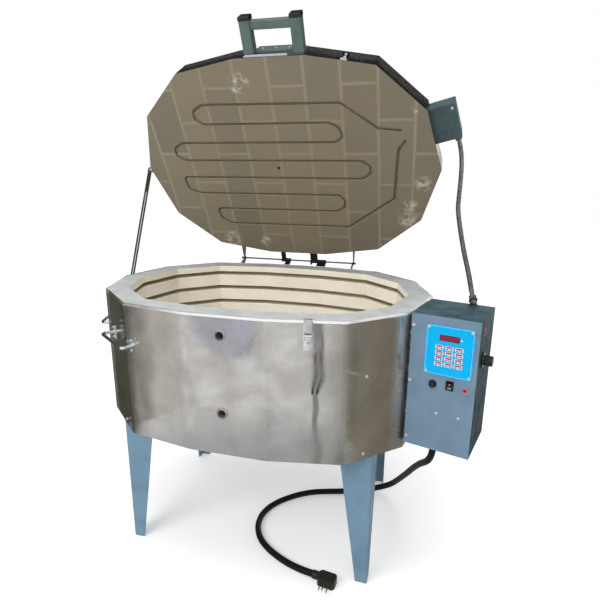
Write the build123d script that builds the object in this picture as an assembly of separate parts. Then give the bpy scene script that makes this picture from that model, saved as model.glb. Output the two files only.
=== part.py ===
from build123d import *
import math
import os

# An oval electric glass kiln on four sheet-steel legs, lid propped open.
# Millimetres, X along the oval, -Y towards the user, +Z up, floor at z = 0.

# Plan of the body: fourteen flat facets, counted from the front right
centre_facet = 229.4
side_facet = 213.2
end_facet = 207.1
side_turn = 10.0
end_turn = 32.0
facet_count = 14

# Heights of the body
leg_height = 444.0
pan_sheet = 2.0
pan_lip_height = 25.0
pan_lip_sheet = 1.0
floor_brick = 68.0
course_height = 114.3
course_count = 3
wall_brick = 66.5
jacket_sheet = 1.0
hem_width = 4.0

# Legs
leg_sheet = 3.0
leg_top_width = 100.0
leg_bottom_width = 36.0
leg_fold_radius = 4.0
flange_reach = 90.0
leg_bolt_radius = 3.0
leg_bolt_inset = 25.0
leg_bolt_along = 60.0
leg_boss_radius = 7.0
leg_boss_height = 7.0

# Lid
lid_gap = 0.6
lid_brick = 76.0
lid_band_height = 81.0
lid_angle = 61.3
hinge_back = 46.9
hinge_rise = 10.0

# Fits and clearances
running = 0.05
free_fit = 0.3
screw_clearance = 0.1

# Heating elements
groove_height = 14.0
groove_depth = 15.0
coil_radius = 5.0
coil_sink = 8.0
coil_bend = 14.0
tail_first = 30.0
tail_pitch = 18.0
tail_out = 22.0
bushing_radius = 7.0
bushing_inner_radius = 5.5
bushing_in = 40.0
bushing_out = 15.0

# Peepholes in the front centre facet
peephole_x = -10.0
peephole_radius = 12.0
peephole_sleeve_radius = 14.5
peephole_flange_radius = 17.0
peephole_flange = 2.5
peephole_courses = (0, 2)

# Round-headed sheet screws
screw_head_radius = 4.5
screw_head_height = 2.6
screw_radius = 2.0
screw_length = 18.0
short_screw = 10.0
low_screw_rise = 16.0
middle_screw_drop = 164.9

# Lifting handles
bar_radius = 5.0
bar_reach = 38.0
bar_bend = 14.0
foot_width = 30.0
foot_height = 47.0
foot_sheet = 2.5
foot_screw_offset = 15.0
handle_drop = 124.9
corner_handle_left = 70.0
corner_handle_right = 22.0
end_handle_span = 130.0

# Control box beside facet 2
box_width = 182.0
box_depth = 180.0
box_height = 391.0
box_sheet = 1.5
box_rise = 23.0
box_back_off = 5.0
spacer_length = 6.0
spacer_radius = 6.0
return_flange = 12.0
panel_screw_edge = 6.0

# Controller face plate, measured from the box's left edge and foot
plate_left = 42.0
plate_width = 128.0
plate_bottom = 228.0
plate_height = 140.0
plate_sheet = 1.5
plate_margin = 9.0
window_left = 78.0
window_width = 54.0
window_bottom = 326.0
window_height = 18.0
key_columns = 3
key_rows = 4
key_first_a = 80.5
key_first_z = 260.8
key_pitch_a = 26.0
key_pitch_z = 15.8
key_width = 21.0
key_height = 11.5
key_proud = 1.0
key_flange = 1.2
key_stem_radius = 2.5
key_stem = 5.0
key_travel = 0.8
board_sheet = 1.6
board_depth = 12.0
board_edge = 4.0
switch_side = 6.0

# Controls under the face plate
rocker_a = 115.3
rocker_z = 203.0
rocker_width = 17.0
rocker_half_height = 10.3
rocker_throw = 12.0
rocker_pin_depth = 2.0
rocker_pin_radius = 1.2
rocker_bezel_width = 21.0
rocker_bezel_height = 27.0
fuse_a = 69.4
fuse_z = 199.3
fuse_flange_radius = 11.0
fuse_cap_radius = 8.5
fuse_cap_height = 9.0
fuse_spigot_radius = 5.0
lamp_front_edge = 25.5
lamp_front_z = 198.5
lamp_side_c = 52.0
lamp_side_z = 353.0
lamp_radius = 5.5
lamp_bezel_radius = 8.0
knob_c = 52.0
knob_z = 275.0
knob_radius = 14.0
knob_skirt_radius = 22.0
knob_skirt = 3.0
knob_height = 26.0
knob_shaft_radius = 3.0
tray_screw_a = (85.6, 145.5)
tray_screw_z = 114.8
panel_screw_z = (24.0, 197.0, 358.0)

# Wiring entries of the control box
conduit_a = 125.0
conduit_c = 160.0
gland_a = 60.0
gland_c = 105.0
gland_drop = 27.0
cord_radius = 10.5
conduit_radius = 7.5
conduit_bore_radius = 5.5
rib_depth = 0.9
rib_count = 96

# Hinge rod and straps
rod_radius = 3.175
rod_left = -250.0
rod_right = 232.0
eye_radius = 8.0
strap_sheet = 4.0
lug_sheet = 3.0
lug_foot = 24.0
body_lugs = (-239.6, 219.6)
lid_lugs = (-243.0, 223.0)

# Lid stay: a slotted bar on a shoulder screw, sliding on a stud
stay_plane = 548.0
stay_pivot_y = 15.0
stay_pivot_rise = 10.0
stay_width = 22.0
stay_sheet = 3.0
stay_length = 528.0
stay_slot_start = 85.0
stay_slot_width = 7.0
stay_stud_turn = 12.9
stud_radius = 3.2
pivot_radius = 4.0
boss_radius = 8.0
stay_play = 0.6
washer_radius = 7.5
washer_sheet = 2.0

# Lid handle
post_side = 34.0
post_wall = 2.0
post_left = -83.0
post_right = 75.0
post_low = 12.0
post_reach = 104.0
cap_length = 12.0
cap_plug = 16.0
grip_side = 25.0
grip_setback = 2.0
mount_bar_depth = 7.0
mount_bar_low = 22.0
mount_bar_high = 75.0
handle_plate_sheet = 3.0
handle_plate_low = 5.0
handle_plate_high = 80.0
handle_lip = 3.0

# Junction box on the lid and the lid element
lid_box_start = 12.0
lid_box_end = 127.0
lid_box_reach = 80.0
lid_box_low = 28.0
lid_box_high = 80.0
lid_groove_width = 10.0
lid_groove_depth = 12.0
lid_coil_radius = 4.0
lid_row_first = -233.0
lid_row_pitch = 67.4
lid_tail_rise = 54.0
lid_tails = ((39.6, -90.4), (74.6, -86.0))
conduit_exit_rise = 55.0
conduit_exit_out = 66.0

# Supply cord and its plug: the route lies under the kiln and out to the front
first_run = 27.0
last_run = 25.0
cord_route = (
    (567, -115, 386), (562, -104, 362), (554, -88, 340), (538, -50, 308), (518, 4, 256),
    (494, 62, 189), (466, 123, 120), (442, 163, 70), (412, 180, 41), (373, 186, 20), (329, 180, 11),
    (288, 161, 11), (248, 144, 11), (195, 129, 11), (146, 112, 11), (102, 87, 11), (64, 55, 11),
    (29, 18, 11), (3, -26, 11), (-8, -75, 11), (-3, -122, 11), (15, -164, 11), (40, -196, 11),
    (70, -221, 11), (106, -243, 11), (146, -262, 11), (184, -275, 12),
)
plug_entry = (238.0, -287.0, 14.0)
plug_heading = -8.5
plug_length = 56.0
plug_back = 14.0
plug_front = 26.0
plug_low = -13.0
plug_high = 15.0
blade_reach = 24.0

# Conduit between the two boxes, from the lid down: X, Y and height above the rim
elbow_way = (-0.126, 0.787, 0.604)
elbow_rise = 10.0
fitting_reach = 16.0
elbow_reach = 22.0
conduit_route = (
    (595, 240, 420.1), (598, 238, 387.1), (598, 222, 343.1), (596, 200, 291.1), (595, 176, 253.1),
    (601, 146, 215.1), (609, 109, 174.1), (619, 62, 129.1), (632, 5, 82.1),
)

# Latch and its keeper on facet 0
latch_t = 116.0
latch_pin_drop = 39.9
latch_pin_radius = 2.0
latch_pin_out = 8.0
latch_width = 18.0
latch_sheet = 1.5
ear_sheet = 2.0
claw_pin_drop = 9.0
claw_pin_forward = 5.0
claw_pin_radius = 1.5
claw_top = 6.6
keeper_lip = 7.0
keeper_lip_low = 0.8
keeper_lip_sheet = 2.2
keeper_top = 62.0
keeper_width = 22.0


def heading_list():
    quarter = [side_turn, side_turn + end_turn, side_turn + 2 * end_turn]
    half = quarter + [180 - a for a in reversed(quarter)] + [180]
    return half + [a + 180 for a in half]


headings = heading_list()
lengths = ([side_facet] + [end_facet] * 4 + [side_facet, centre_facet]) * 2
along = [(math.cos(math.radians(a)), math.sin(math.radians(a))) for a in headings]
outward = [(u[1], -u[0]) for u in along]
half_depth = sum(lengths[i] * along[i][1] for i in range(3))


def corner_list():
    x, y = centre_facet / 2, -half_depth
    points = []
    for length, u in zip(lengths, along):
        points.append((x, y))
        x, y = x + u[0] * length, y + u[1] * length
    return points


corners = corner_list()
half_length = corners[3][0]

floor_top = leg_height + pan_sheet + floor_brick
bricks_top = floor_top + course_count * course_height
rim_z = bricks_top + jacket_sheet
lid_z = rim_z + lid_gap
brick_inset = jacket_sheet + pan_lip_sheet
chamber_inset = brick_inset + wall_brick
hinge_y = half_depth + hinge_back
hinge_z = rim_z + hinge_rise
handle_z = rim_z - handle_drop
latch_pin_z = rim_z - latch_pin_drop
lamp_front_a = box_width - lamp_front_edge


# Shape helpers

def outline(inset):
    # The plan drawn in by an even distance, corner by corner
    points = []
    for i in range(facet_count):
        before, after = outward[i - 1], outward[i]
        share = inset / (1 + before[0] * after[0] + before[1] * after[1])
        x, y = corners[i]
        points.append((x - share * (before[0] + after[0]), y - share * (before[1] + after[1])))
    return points


def prism(points, low, high):
    face = make_face(Polyline(*points, close=True))
    return Pos(0, 0, low) * extrude(face, amount=high - low)


def ring(outer, inner, low, high):
    return prism(outline(outer), low, high) - prism(outline(inner), low - 1, high + 1)


def block(low, high):
    size = [b - a for a, b in zip(low, high)]
    return Pos(*low) * Box(*size, align=(Align.MIN, Align.MIN, Align.MIN))


def rod(start, end, radius):
    axis = Vector(*end) - Vector(*start)
    place = Plane(origin=start, z_dir=axis)
    return place * Cylinder(radius, axis.length, align=(Align.CENTER, Align.CENTER, Align.MIN))


def tube(start, end, radius, inner):
    return rod(start, end, radius) - rod(start, end, inner)


def side_profile(points, left, right):
    # A shape drawn in Y and Z, and run along X from left to right
    face = Plane.YZ.offset(left) * make_face(Polyline(*points, close=True))
    return extrude(face, amount=right - left)


def on_facet(i, t, z, out=0.0):
    x, y = corners[i]
    u, n = along[i], outward[i]
    origin = (x + u[0] * t + n[0] * out, y + u[1] * t + n[1] * out, z)
    return Plane(origin=origin, x_dir=(u[0], u[1], 0), z_dir=(n[0], n[1], 0))


def point_on(i, t, z, out=0.0):
    return tuple(on_facet(i, t, z, out).origin)


def tilt_lid(shape):
    hinge = Axis((0, hinge_y, hinge_z), (1, 0, 0))
    return shape.rotate(hinge, -lid_angle)


def tilt_point(point):
    x, y, z = point
    turn = math.radians(lid_angle)
    back, rise = y - hinge_y, z - hinge_z
    return (
        x,
        hinge_y + back * math.cos(turn) + rise * math.sin(turn),
        hinge_z + rise * math.cos(turn) - back * math.sin(turn),
    )


def in_box(shape):
    return box_frame * shape


def box_point(a, c, z):
    return tuple(box_frame.from_local_coords((a, c, z)))


def screw(plane, length=screw_length):
    # Button head on the plane, shank behind it, driving slot across the head
    head = Cylinder(screw_head_radius, screw_head_height, align=(Align.CENTER, Align.CENTER, Align.MIN))
    head = fillet(head.edges().sort_by(Axis.Z)[-1], 1.6)
    slot = Pos(0, 0, screw_head_height) * Box(2 * screw_head_radius, 1.0, 1.8)
    shank = Pos(0, 0, -length) * Cylinder(screw_radius, length, align=(Align.CENTER, Align.CENTER, Align.MIN))
    return plane * (head + shank - slot)


def screw_hole(plane, length=screw_length):
    radius = screw_radius + screw_clearance
    hole = Cylinder(radius, length + 3, align=(Align.CENTER, Align.CENTER, Align.MIN))
    return plane * (Pos(0, 0, -length - 1) * hole)


def bent_path(points, share=0.45, radius=None):
    # Straight runs joined by arcs as large as the two runs at each corner allow
    vectors = [Vector(*p) for p in points]
    radii = []
    for a, b, c in zip(vectors, vectors[1:], vectors[2:]):
        turn = math.radians((b - a).get_angle(c - b))
        largest = share * min((b - a).length, (c - b).length) / math.tan(turn / 2)
        radii.append(largest if radius is None else min(radius, largest))
    return FilletPolyline(*points, radius=radii), radii


def swept_round(path, radius):
    start = Plane(origin=path @ 0, z_dir=path % 0)
    return sweep(start * Circle(radius), path=path)


# The control box's own frame: a outwards, c backwards along facet 2, z up from its foot

box_foot = leg_height + box_rise
box_frame = Plane(
    origin=point_on(2, -box_back_off, box_foot, spacer_length),
    x_dir=(outward[2][0], outward[2][1], 0),
    z_dir=(0, 0, 1),
)


# Body fasteners: where each sheet screw sits, and how far its seat stands out

def handle_feet():
    half_span = end_handle_span / 2
    middle = end_facet / 2
    return (
        (11, corner_handle_left),
        (12, corner_handle_right),
        (10, middle - half_span),
        (10, middle + half_span),
    )


def strap_screw_planes():
    # Two screws through each body strap on the back centre facet
    planes = []
    for left, right in ((-70.0, -38.0), (76.5, 111.0)):
        for z in (rim_z - 55, rim_z - 30):
            t = centre_facet / 2 - (left + right) / 2
            planes.append(on_facet(6, t, z, strap_sheet))
    return planes


def lug_t(i, x):
    # Distance along a facet at which it has this X
    return (x - corners[i][0]) / along[i][0]


def lug_facet(x):
    return 5 if x > 0 else 7


def lug_screw_t(x):
    # Screws sit in the middle of a lug's foot, which lies along the facet beside its plate
    return lug_t(lug_facet(x), x + lug_sheet / 2) + lug_foot / 2


def lug_screw_planes():
    planes = []
    for x in body_lugs:
        for z in (rim_z - 50, rim_z - 28):
            planes.append(on_facet(lug_facet(x), lug_screw_t(x), z, lug_sheet))
    return planes


def body_screw_planes():
    low, middle = leg_height + low_screw_rise, rim_z - middle_screw_drop
    planes = [on_facet(1, 70, low), on_facet(11, end_facet - 70, low)]
    planes += [on_facet(1, 71, middle), on_facet(4, 136, middle), on_facet(8, 71, middle)]
    planes += [on_facet(4, 137, low), on_facet(8, 70, low)]
    for i, t in handle_feet():
        for rise in (-foot_screw_offset, foot_screw_offset):
            planes.append(on_facet(i, t, handle_z + rise, foot_sheet))
    for z in (latch_pin_z - 30, latch_pin_z + 24):
        planes.append(on_facet(0, latch_t, z, ear_sheet))
    return planes + strap_screw_planes() + lug_screw_planes()


def spacer_places():
    # Four spacer sleeves between the control box and the jacket
    rows = (90.0, 330.0)
    return [(t, box_foot + z) for t in (15.0, 160.0) for z in rows]


def tail_places():
    # Where the ends of each element turn pass out through facet 2
    places = []
    for k in range(2 * course_count):
        z = bricks_top - course_height * (0.25 + 0.5 * k)
        first = tail_first + (k % 2) * tail_pitch
        places.append((first, first + 5 * tail_pitch, z))
    return places


couple_t = end_facet * 0.46
couple_z = floor_top + course_height * 1.5 + 6
couple_radius = 4.0


def wall_holes(clearance):
    # Every round hole through the wall: facet, distance, height, radius
    holes = [(2, couple_t, couple_z, couple_radius + clearance)]
    for first, second, z in tail_places():
        holes += [(2, t, z, bushing_radius + clearance) for t in (first, second)]
    for course in peephole_courses:
        t = peephole_x - corners[13][0]
        z = floor_top + course_height * (course + 0.5)
        holes.append((13, t, z, peephole_sleeve_radius + clearance))
    return holes


# Body

def make_legs():
    legs = []
    for i in (1, 4, 8, 11):
        start = on_facet(i, end_facet / 2, 0).origin
        inward = math.degrees(math.atan2(-outward[i][1], -outward[i][0]))
        leg = None
        ways = []
        for turn, side in ((45, 1), (-45, -1)):
            heading = math.radians(inward + turn)
            way = Vector(math.cos(heading), math.sin(heading), 0)
            ways.append(way)
            plane = Plane(origin=start, x_dir=way, z_dir=way.cross(Vector(0, 0, 1)))
            outline_points = [(0, 0), (leg_bottom_width, 0), (leg_top_width, leg_height), (0, leg_height)]
            wing = extrude(plane * make_face(Polyline(*outline_points, close=True)), amount=side * leg_sheet)
            leg = wing if leg is None else leg + wing
        fold = leg.edges().filter_by(Axis.Z).sort_by_distance((start.X, start.Y, leg_height / 2))[0]
        leg = fillet(fold, leg_fold_radius)
        first, second = ways
        half = leg_sheet / 2
        corner_points = [
            start + (first + second) * half,
            start + first * flange_reach + second * half,
            start + (first + second) * (flange_reach * 0.62),
            start + first * half + second * flange_reach,
        ]
        flange = prism([(p.X, p.Y) for p in corner_points], leg_height - leg_sheet, leg_height)
        leg = leg + flange
        for place in leg_bolt_places(start, first, second):
            leg -= rod((place.X, place.Y, leg_height - 9), (place.X, place.Y, leg_height + 1),
                       leg_bolt_radius + screw_clearance)
        legs.append(leg)
    return legs


def leg_bolt_places(start, first, second):
    return (
        start + first * leg_bolt_along + second * leg_bolt_inset,
        start + first * leg_bolt_inset + second * leg_bolt_along,
    )


def all_bolt_places():
    places = []
    for i in (1, 4, 8, 11):
        start = on_facet(i, end_facet / 2, 0).origin
        inward = math.degrees(math.atan2(-outward[i][1], -outward[i][0]))
        ways = []
        for turn in (45, -45):
            heading = math.radians(inward + turn)
            ways.append(Vector(math.cos(heading), math.sin(heading), 0))
        places += leg_bolt_places(start, *ways)
    return places


def make_leg_bolts():
    bolts = []
    for place in all_bolt_places():
        head_z = leg_height - leg_sheet
        head = Pos(place.X, place.Y, head_z - 4) * extrude(RegularPolygon(5.6, 6), amount=4)
        bolts.append(head + rod((place.X, place.Y, head_z - 1), (place.X, place.Y, leg_height + 8), leg_bolt_radius))
    return bolts


def make_base_pan():
    pan = prism(outline(jacket_sheet), leg_height, leg_height + pan_sheet)
    pan += ring(jacket_sheet, brick_inset, leg_height + pan_sheet / 2, leg_height + pan_lip_height)
    for place in all_bolt_places():
        foot = (place.X, place.Y, leg_height + pan_sheet / 2)
        top = (place.X, place.Y, leg_height + pan_sheet + leg_boss_height)
        pan += rod(foot, top, leg_boss_radius)
    for place in all_bolt_places():
        foot = (place.X, place.Y, leg_height - 1)
        pan -= rod(foot, (place.X, place.Y, leg_height + 20), leg_bolt_radius + screw_clearance)
    for plane in body_screw_planes()[:7]:
        pan -= screw_hole(plane)
    return [pan]


def make_floor_slab():
    slab = prism(outline(brick_inset), leg_height + pan_sheet, floor_top)
    for place in all_bolt_places():
        foot = (place.X, place.Y, leg_height)
        top = (place.X, place.Y, leg_height + pan_sheet + leg_boss_height + 2)
        slab -= rod(foot, top, leg_boss_radius + free_fit)
    for plane in body_screw_planes()[:7]:
        slab -= screw_hole(plane)
    return [slab]


def make_wall_bricks():
    outer, inner = outline(brick_inset), outline(chamber_inset)
    deep, mouth = outline(chamber_inset - groove_depth), outline(chamber_inset + 5)
    bricks = []
    holes = wall_holes(screw_clearance)
    screws = [(p, screw_hole(p)) for p in body_screw_planes()]
    spacer_holes = [screw_hole(on_facet(2, t, z, spacer_length), 24) for t, z in spacer_places()]
    tails = [swept_round(path, coil_radius + free_fit) for path in side_element_paths()]
    for course in range(course_count):
        low = floor_top + course * course_height
        high = low + course_height
        for i in range(facet_count):
            j = (i + 1) % facet_count
            brick = prism([outer[i], outer[j], inner[j], inner[i]], low, high)
            for share in (0.25, 0.75):
                middle = low + share * course_height
                low_edge, high_edge = middle - groove_height / 2, middle + groove_height / 2
                brick -= prism([deep[i], deep[j], mouth[j], mouth[i]], low_edge, high_edge)
            for f, t, z, radius in holes:
                if f == i and low - radius < z < high + radius:
                    brick -= rod(point_on(f, t, z, 5), point_on(f, t, z, -chamber_inset - 5), radius)
            for plane, hole in screws:
                if low - 5 < plane.origin.Z < high + 5:
                    if abs(plane.z_dir.X - outward[i][0]) + abs(plane.z_dir.Y - outward[i][1]) < 0.01:
                        brick -= hole
            if i == 2:
                for (t, z), hole in zip(spacer_places(), spacer_holes):
                    if low - 5 < z < high + 5:
                        brick -= hole
                last = course_count - course
                for tail in tails[2 * last - 2:2 * last]:
                    brick -= tail
            bricks.append(brick)
    return bricks


def make_jacket():
    jacket = ring(0, jacket_sheet, leg_height, rim_z)
    jacket += ring(jacket_sheet / 2, jacket_sheet + hem_width, rim_z - jacket_sheet, rim_z)
    for i, t, z, radius in wall_holes(screw_clearance):
        jacket -= rod(point_on(i, t, z, 5), point_on(i, t, z, -5), radius)
    for plane in body_screw_planes():
        jacket -= screw_hole(plane)
    for t, z in spacer_places():
        jacket -= screw_hole(on_facet(2, t, z, spacer_length), 24)
    return [jacket]


def make_body_screws():
    pieces = [screw(plane) for plane in body_screw_planes()]
    for t, z in spacer_places():
        inner_wall = spacer_length + box_sheet
        pieces.append(screw(on_facet(2, t, z, inner_wall), 24))
        start, end = point_on(2, t, z), point_on(2, t, z, spacer_length)
        pieces.append(tube(start, end, spacer_radius, screw_radius + screw_clearance))
    for a in tray_screw_a:
        pieces.append(in_box(front_screw(a, tray_screw_z, 0.0)))
    for a, z in panel_screws():
        pieces.append(in_box(front_screw(a, z, 0.0)))
    for a, z in plate_screws():
        pieces.append(in_box(front_screw(a, z, -plate_sheet)))
    return pieces


def make_peephole_bushes():
    bushes = []
    for course in peephole_courses:
        t = peephole_x - corners[13][0]
        z = floor_top + course_height * (course + 0.5)
        deep = -chamber_inset
        bush = rod(point_on(13, t, z, 0), point_on(13, t, z, deep), peephole_sleeve_radius)
        flange = rod(point_on(13, t, z, 0), point_on(13, t, z, peephole_flange), peephole_flange_radius)
        flange = chamfer(flange.edges().sort_by(Axis.Y)[0], 1.0)
        bush = bush + flange
        bush -= rod(point_on(13, t, z, 5), point_on(13, t, z, deep - 5), peephole_radius)
        bushes.append(bush)
    return bushes


def make_side_elements():
    return [swept_round(path, coil_radius) for path in side_element_paths()]


def side_element_paths():
    # Each turn runs once round the chamber in its groove, with both ends out through facet 2
    paths = []
    line = outline(chamber_inset - coil_sink)
    sink = coil_sink - chamber_inset
    for first, second, z in tail_places():
        points = [point_on(2, second, z, tail_out), point_on(2, second, z, sink)]
        points += [(line[k % facet_count][0], line[k % facet_count][1], z) for k in range(3, 3 + facet_count)]
        points += [point_on(2, first, z, sink), point_on(2, first, z, tail_out)]
        path, _ = bent_path(points, radius=coil_bend)
        paths.append(path)
    return paths


def make_element_bushings():
    bushings = []
    for first, second, z in tail_places():
        for t in (first, second):
            start, end = point_on(2, t, z, bushing_out), point_on(2, t, z, -bushing_in)
            bushings.append(tube(start, end, bushing_radius, bushing_inner_radius))
    return bushings


def make_thermocouple():
    tip = -chamber_inset - 25
    probe = rod(point_on(2, couple_t, couple_z, tip), point_on(2, couple_t, couple_z, 20), couple_radius)
    flange = rod(point_on(2, couple_t, couple_z, 14), point_on(2, couple_t, couple_z, 24), 13)
    return [probe + flange]


# Lifting handles

def make_grab_handles():
    pieces = []
    for pair in (handle_feet()[:2], handle_feet()[2:]):
        feet = [point_on(i, t, handle_z, foot_sheet) for i, t in pair]
        knees = [point_on(i, t, handle_z, bar_reach) for i, t in pair]
        path, _ = bent_path([feet[0], knees[0], knees[1], feet[1]], radius=bar_bend)
        handle = swept_round(path, bar_radius)
        for i, t in pair:
            plate = Box(foot_width, foot_height, foot_sheet, align=(Align.CENTER, Align.CENTER, Align.MIN))
            plate = fillet(plate.edges().filter_by(Axis.Z), 4)
            handle += on_facet(i, t, handle_z) * plate
            collar = Cylinder(bar_radius + 2, 3, align=(Align.CENTER, Align.CENTER, Align.MIN))
            handle += on_facet(i, t, handle_z, foot_sheet - 0.5) * collar
            for rise in (-foot_screw_offset, foot_screw_offset):
                handle -= screw_hole(on_facet(i, t, handle_z + rise, foot_sheet))
        pieces.append(handle)
    return pieces


# Control box, drawn in its own frame: a outwards, c backwards, z up

def front_plane(a, z, c=0.0):
    return Plane(origin=(a, c, z), x_dir=(1, 0, 0), z_dir=(0, -1, 0))


def side_plane(c, z, a=box_width):
    return Plane(origin=(a, c, z), x_dir=(0, 1, 0), z_dir=(1, 0, 0))


def front_screw(a, z, c):
    return screw(front_plane(a, z, c), short_screw)


def panel_screws():
    return [(a, z) for a in (panel_screw_edge, box_width - panel_screw_edge) for z in panel_screw_z]


def plate_screws():
    low, high = plate_bottom + 7, plate_bottom + plate_height - 7
    left, right = plate_left + 7, plate_left + plate_width - 7
    return [(a, z) for a in (left, right) for z in (low, high)]


def key_places():
    return [
        (key_first_a + column * key_pitch_a, key_first_z + row * key_pitch_z)
        for row in reversed(range(key_rows))
        for column in range(key_columns)
    ]


def wall_tail_holes():
    # Holes in the box's inner wall for bushings, thermocouple and mounting screws
    tools = []
    for first, second, z in tail_places():
        for t in (first, second):
            tools.append(rod(point_on(2, t, z, 0), point_on(2, t, z, 12), bushing_radius + free_fit))
    tools.append(rod(point_on(2, couple_t, couple_z, 0), point_on(2, couple_t, couple_z, 12),
                     couple_radius + free_fit))
    for t, z in spacer_places():
        tools.append(screw_hole(on_facet(2, t, z, spacer_length + box_sheet), 8))
    return tools


def make_control_box():
    s = box_sheet
    shell = block((0, s, 0), (box_width, box_depth, box_height))
    shell -= block((s, 0, s), (box_width - s, box_depth - s, box_height - s))
    for left in (s, box_width - return_flange):
        shell += block((left - s / 2, s, s / 2), (left + return_flange - s / 2, 2 * s, box_height - s / 2))
    for a, z in panel_screws():
        shell -= screw_hole(front_plane(a, z), short_screw)
    shell -= rod((gland_a, gland_c, -5), (gland_a, gland_c, 5), cord_radius + 3.5 + screw_clearance)
    top = box_height
    shell -= rod((conduit_a, conduit_c, top - 5), (conduit_a, conduit_c, top + 5), conduit_radius + screw_clearance)
    shell -= side_plane(lamp_side_c, lamp_side_z) * Cylinder(lamp_radius + screw_clearance, 8)
    shell -= side_plane(knob_c, knob_z) * Cylinder(knob_shaft_radius + 2.5, 8)
    shell = in_box(shell)
    for tool in wall_tail_holes():
        shell -= tool
    return [shell]


def make_front_panel():
    panel = block((0, 0, 0), (box_width, box_sheet, box_height))
    m = plate_margin + 5
    panel -= block((plate_left + m, -1, plate_bottom + m),
                   (plate_left + plate_width - m, 5, plate_bottom + plate_height - m))
    for a, z in plate_screws() + panel_screws() + [(a, tray_screw_z) for a in tray_screw_a]:
        panel -= screw_hole(front_plane(a, z), short_screw)
    panel -= front_plane(fuse_a, fuse_z) * Cylinder(7 + screw_clearance, 8)
    panel -= front_plane(lamp_front_a, lamp_front_z) * Cylinder(lamp_radius + screw_clearance, 8)
    half_a, half_z = rocker_bezel_width / 2 - 1, rocker_bezel_height / 2 - 1
    panel -= block((rocker_a - half_a, -1, rocker_z - half_z), (rocker_a + half_a, 5, rocker_z + half_z))
    return [in_box(panel)]


def make_controller_plate():
    plate = Box(plate_width, plate_height, plate_sheet, align=(Align.MIN, Align.MIN, Align.MIN))
    plate = fillet(plate.edges().filter_by(Axis.Z), 5)
    plate = front_plane(plate_left, plate_bottom) * plate
    plate -= block((window_left, -5, window_bottom),
                   (window_left + window_width, 5, window_bottom + window_height))
    for a, z in key_places():
        half_a, half_z = key_width / 2 + free_fit, key_height / 2 + free_fit
        plate -= block((a - half_a, -5, z - half_z), (a + half_a, 5, z + half_z))
    for a, z in plate_screws():
        plate -= screw_hole(front_plane(a, z, -plate_sheet), short_screw)
    return [in_box(plate)]


def make_display_window():
    g = screw_clearance
    lens = block((window_left + g, -plate_sheet - 0.4, window_bottom + g),
                 (window_left + window_width - g, 3, window_bottom + window_height - g))
    flange = block((window_left - 2, 0, window_bottom - 2),
                   (window_left + window_width + 2, 3, window_bottom + window_height + 2))
    return [in_box(lens + flange)]


def make_key(a, z):
    # A cap through the plate, a flange behind it and a stem to its switch
    cap = Box(key_width, key_height, plate_sheet + key_proud, align=(Align.CENTER, Align.CENTER, Align.MIN))
    cap = fillet(cap.edges().filter_by(Axis.Z), 2)
    cap = front_plane(a, z) * cap
    half_a, half_z = key_width / 2 + 1.4, key_height / 2 + 1.4
    flange = block((a - half_a, 0, z - half_z), (a + half_a, key_flange, z + half_z))
    stem = rod((a, key_flange / 2, z), (a, key_flange + key_stem, z), key_stem_radius)
    return [in_box(cap + flange + stem)]


def make_circuit_board():
    left, right = plate_left + plate_margin + 6, plate_left + plate_width - plate_margin - 6
    low, high = plate_bottom + plate_margin + 6, plate_bottom + plate_height - plate_margin - 6
    board = block((left, board_depth, low), (right, board_depth + board_sheet, high))
    for a in (left + board_edge, right - board_edge):
        for z in (low + board_edge, high - board_edge):
            board += rod((a, 0, z), (a, board_depth + 0.5, z), 3)
    half = switch_side / 2
    switch_front = key_flange + key_stem + key_travel + 0.2
    for a, z in key_places():
        board += block((a - half, switch_front, z - half), (a + half, board_depth + 0.5, z + half))
    board += block((window_left + 3, 3, window_bottom + 1),
                   (window_left + window_width - 3, board_depth + 0.5, window_bottom + window_height - 1))
    board += block((left + 14, board_depth + 1, low + 6), (left + 40, board_depth + 14, low + 26))
    return [in_box(board)]


def rocker_opening():
    return rocker_width / 2 + free_fit, rocker_half_height + 1.4


def make_rocker():
    # A shallow V across the front, tipped about a pin along a
    h = rocker_half_height
    face = Plane.YZ * make_face(Polyline((-4.2, -h), (-2.6, 0), (-4.2, h), (3.0, h * 0.85),
                                         (6.0, 0), (3.0, -h * 0.85), close=True))
    body = extrude(face, amount=rocker_width / 2, both=True)
    depth = rocker_pin_depth
    body = body.rotate(Axis((0, depth, 0), (1, 0, 0)), rocker_throw)
    reach = rocker_width / 2 + 0.8
    pin = rod((-reach, depth, 0), (reach, depth, 0), rocker_pin_radius)
    return [in_box(Pos(rocker_a, 0, rocker_z) * (body + pin))]


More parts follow.
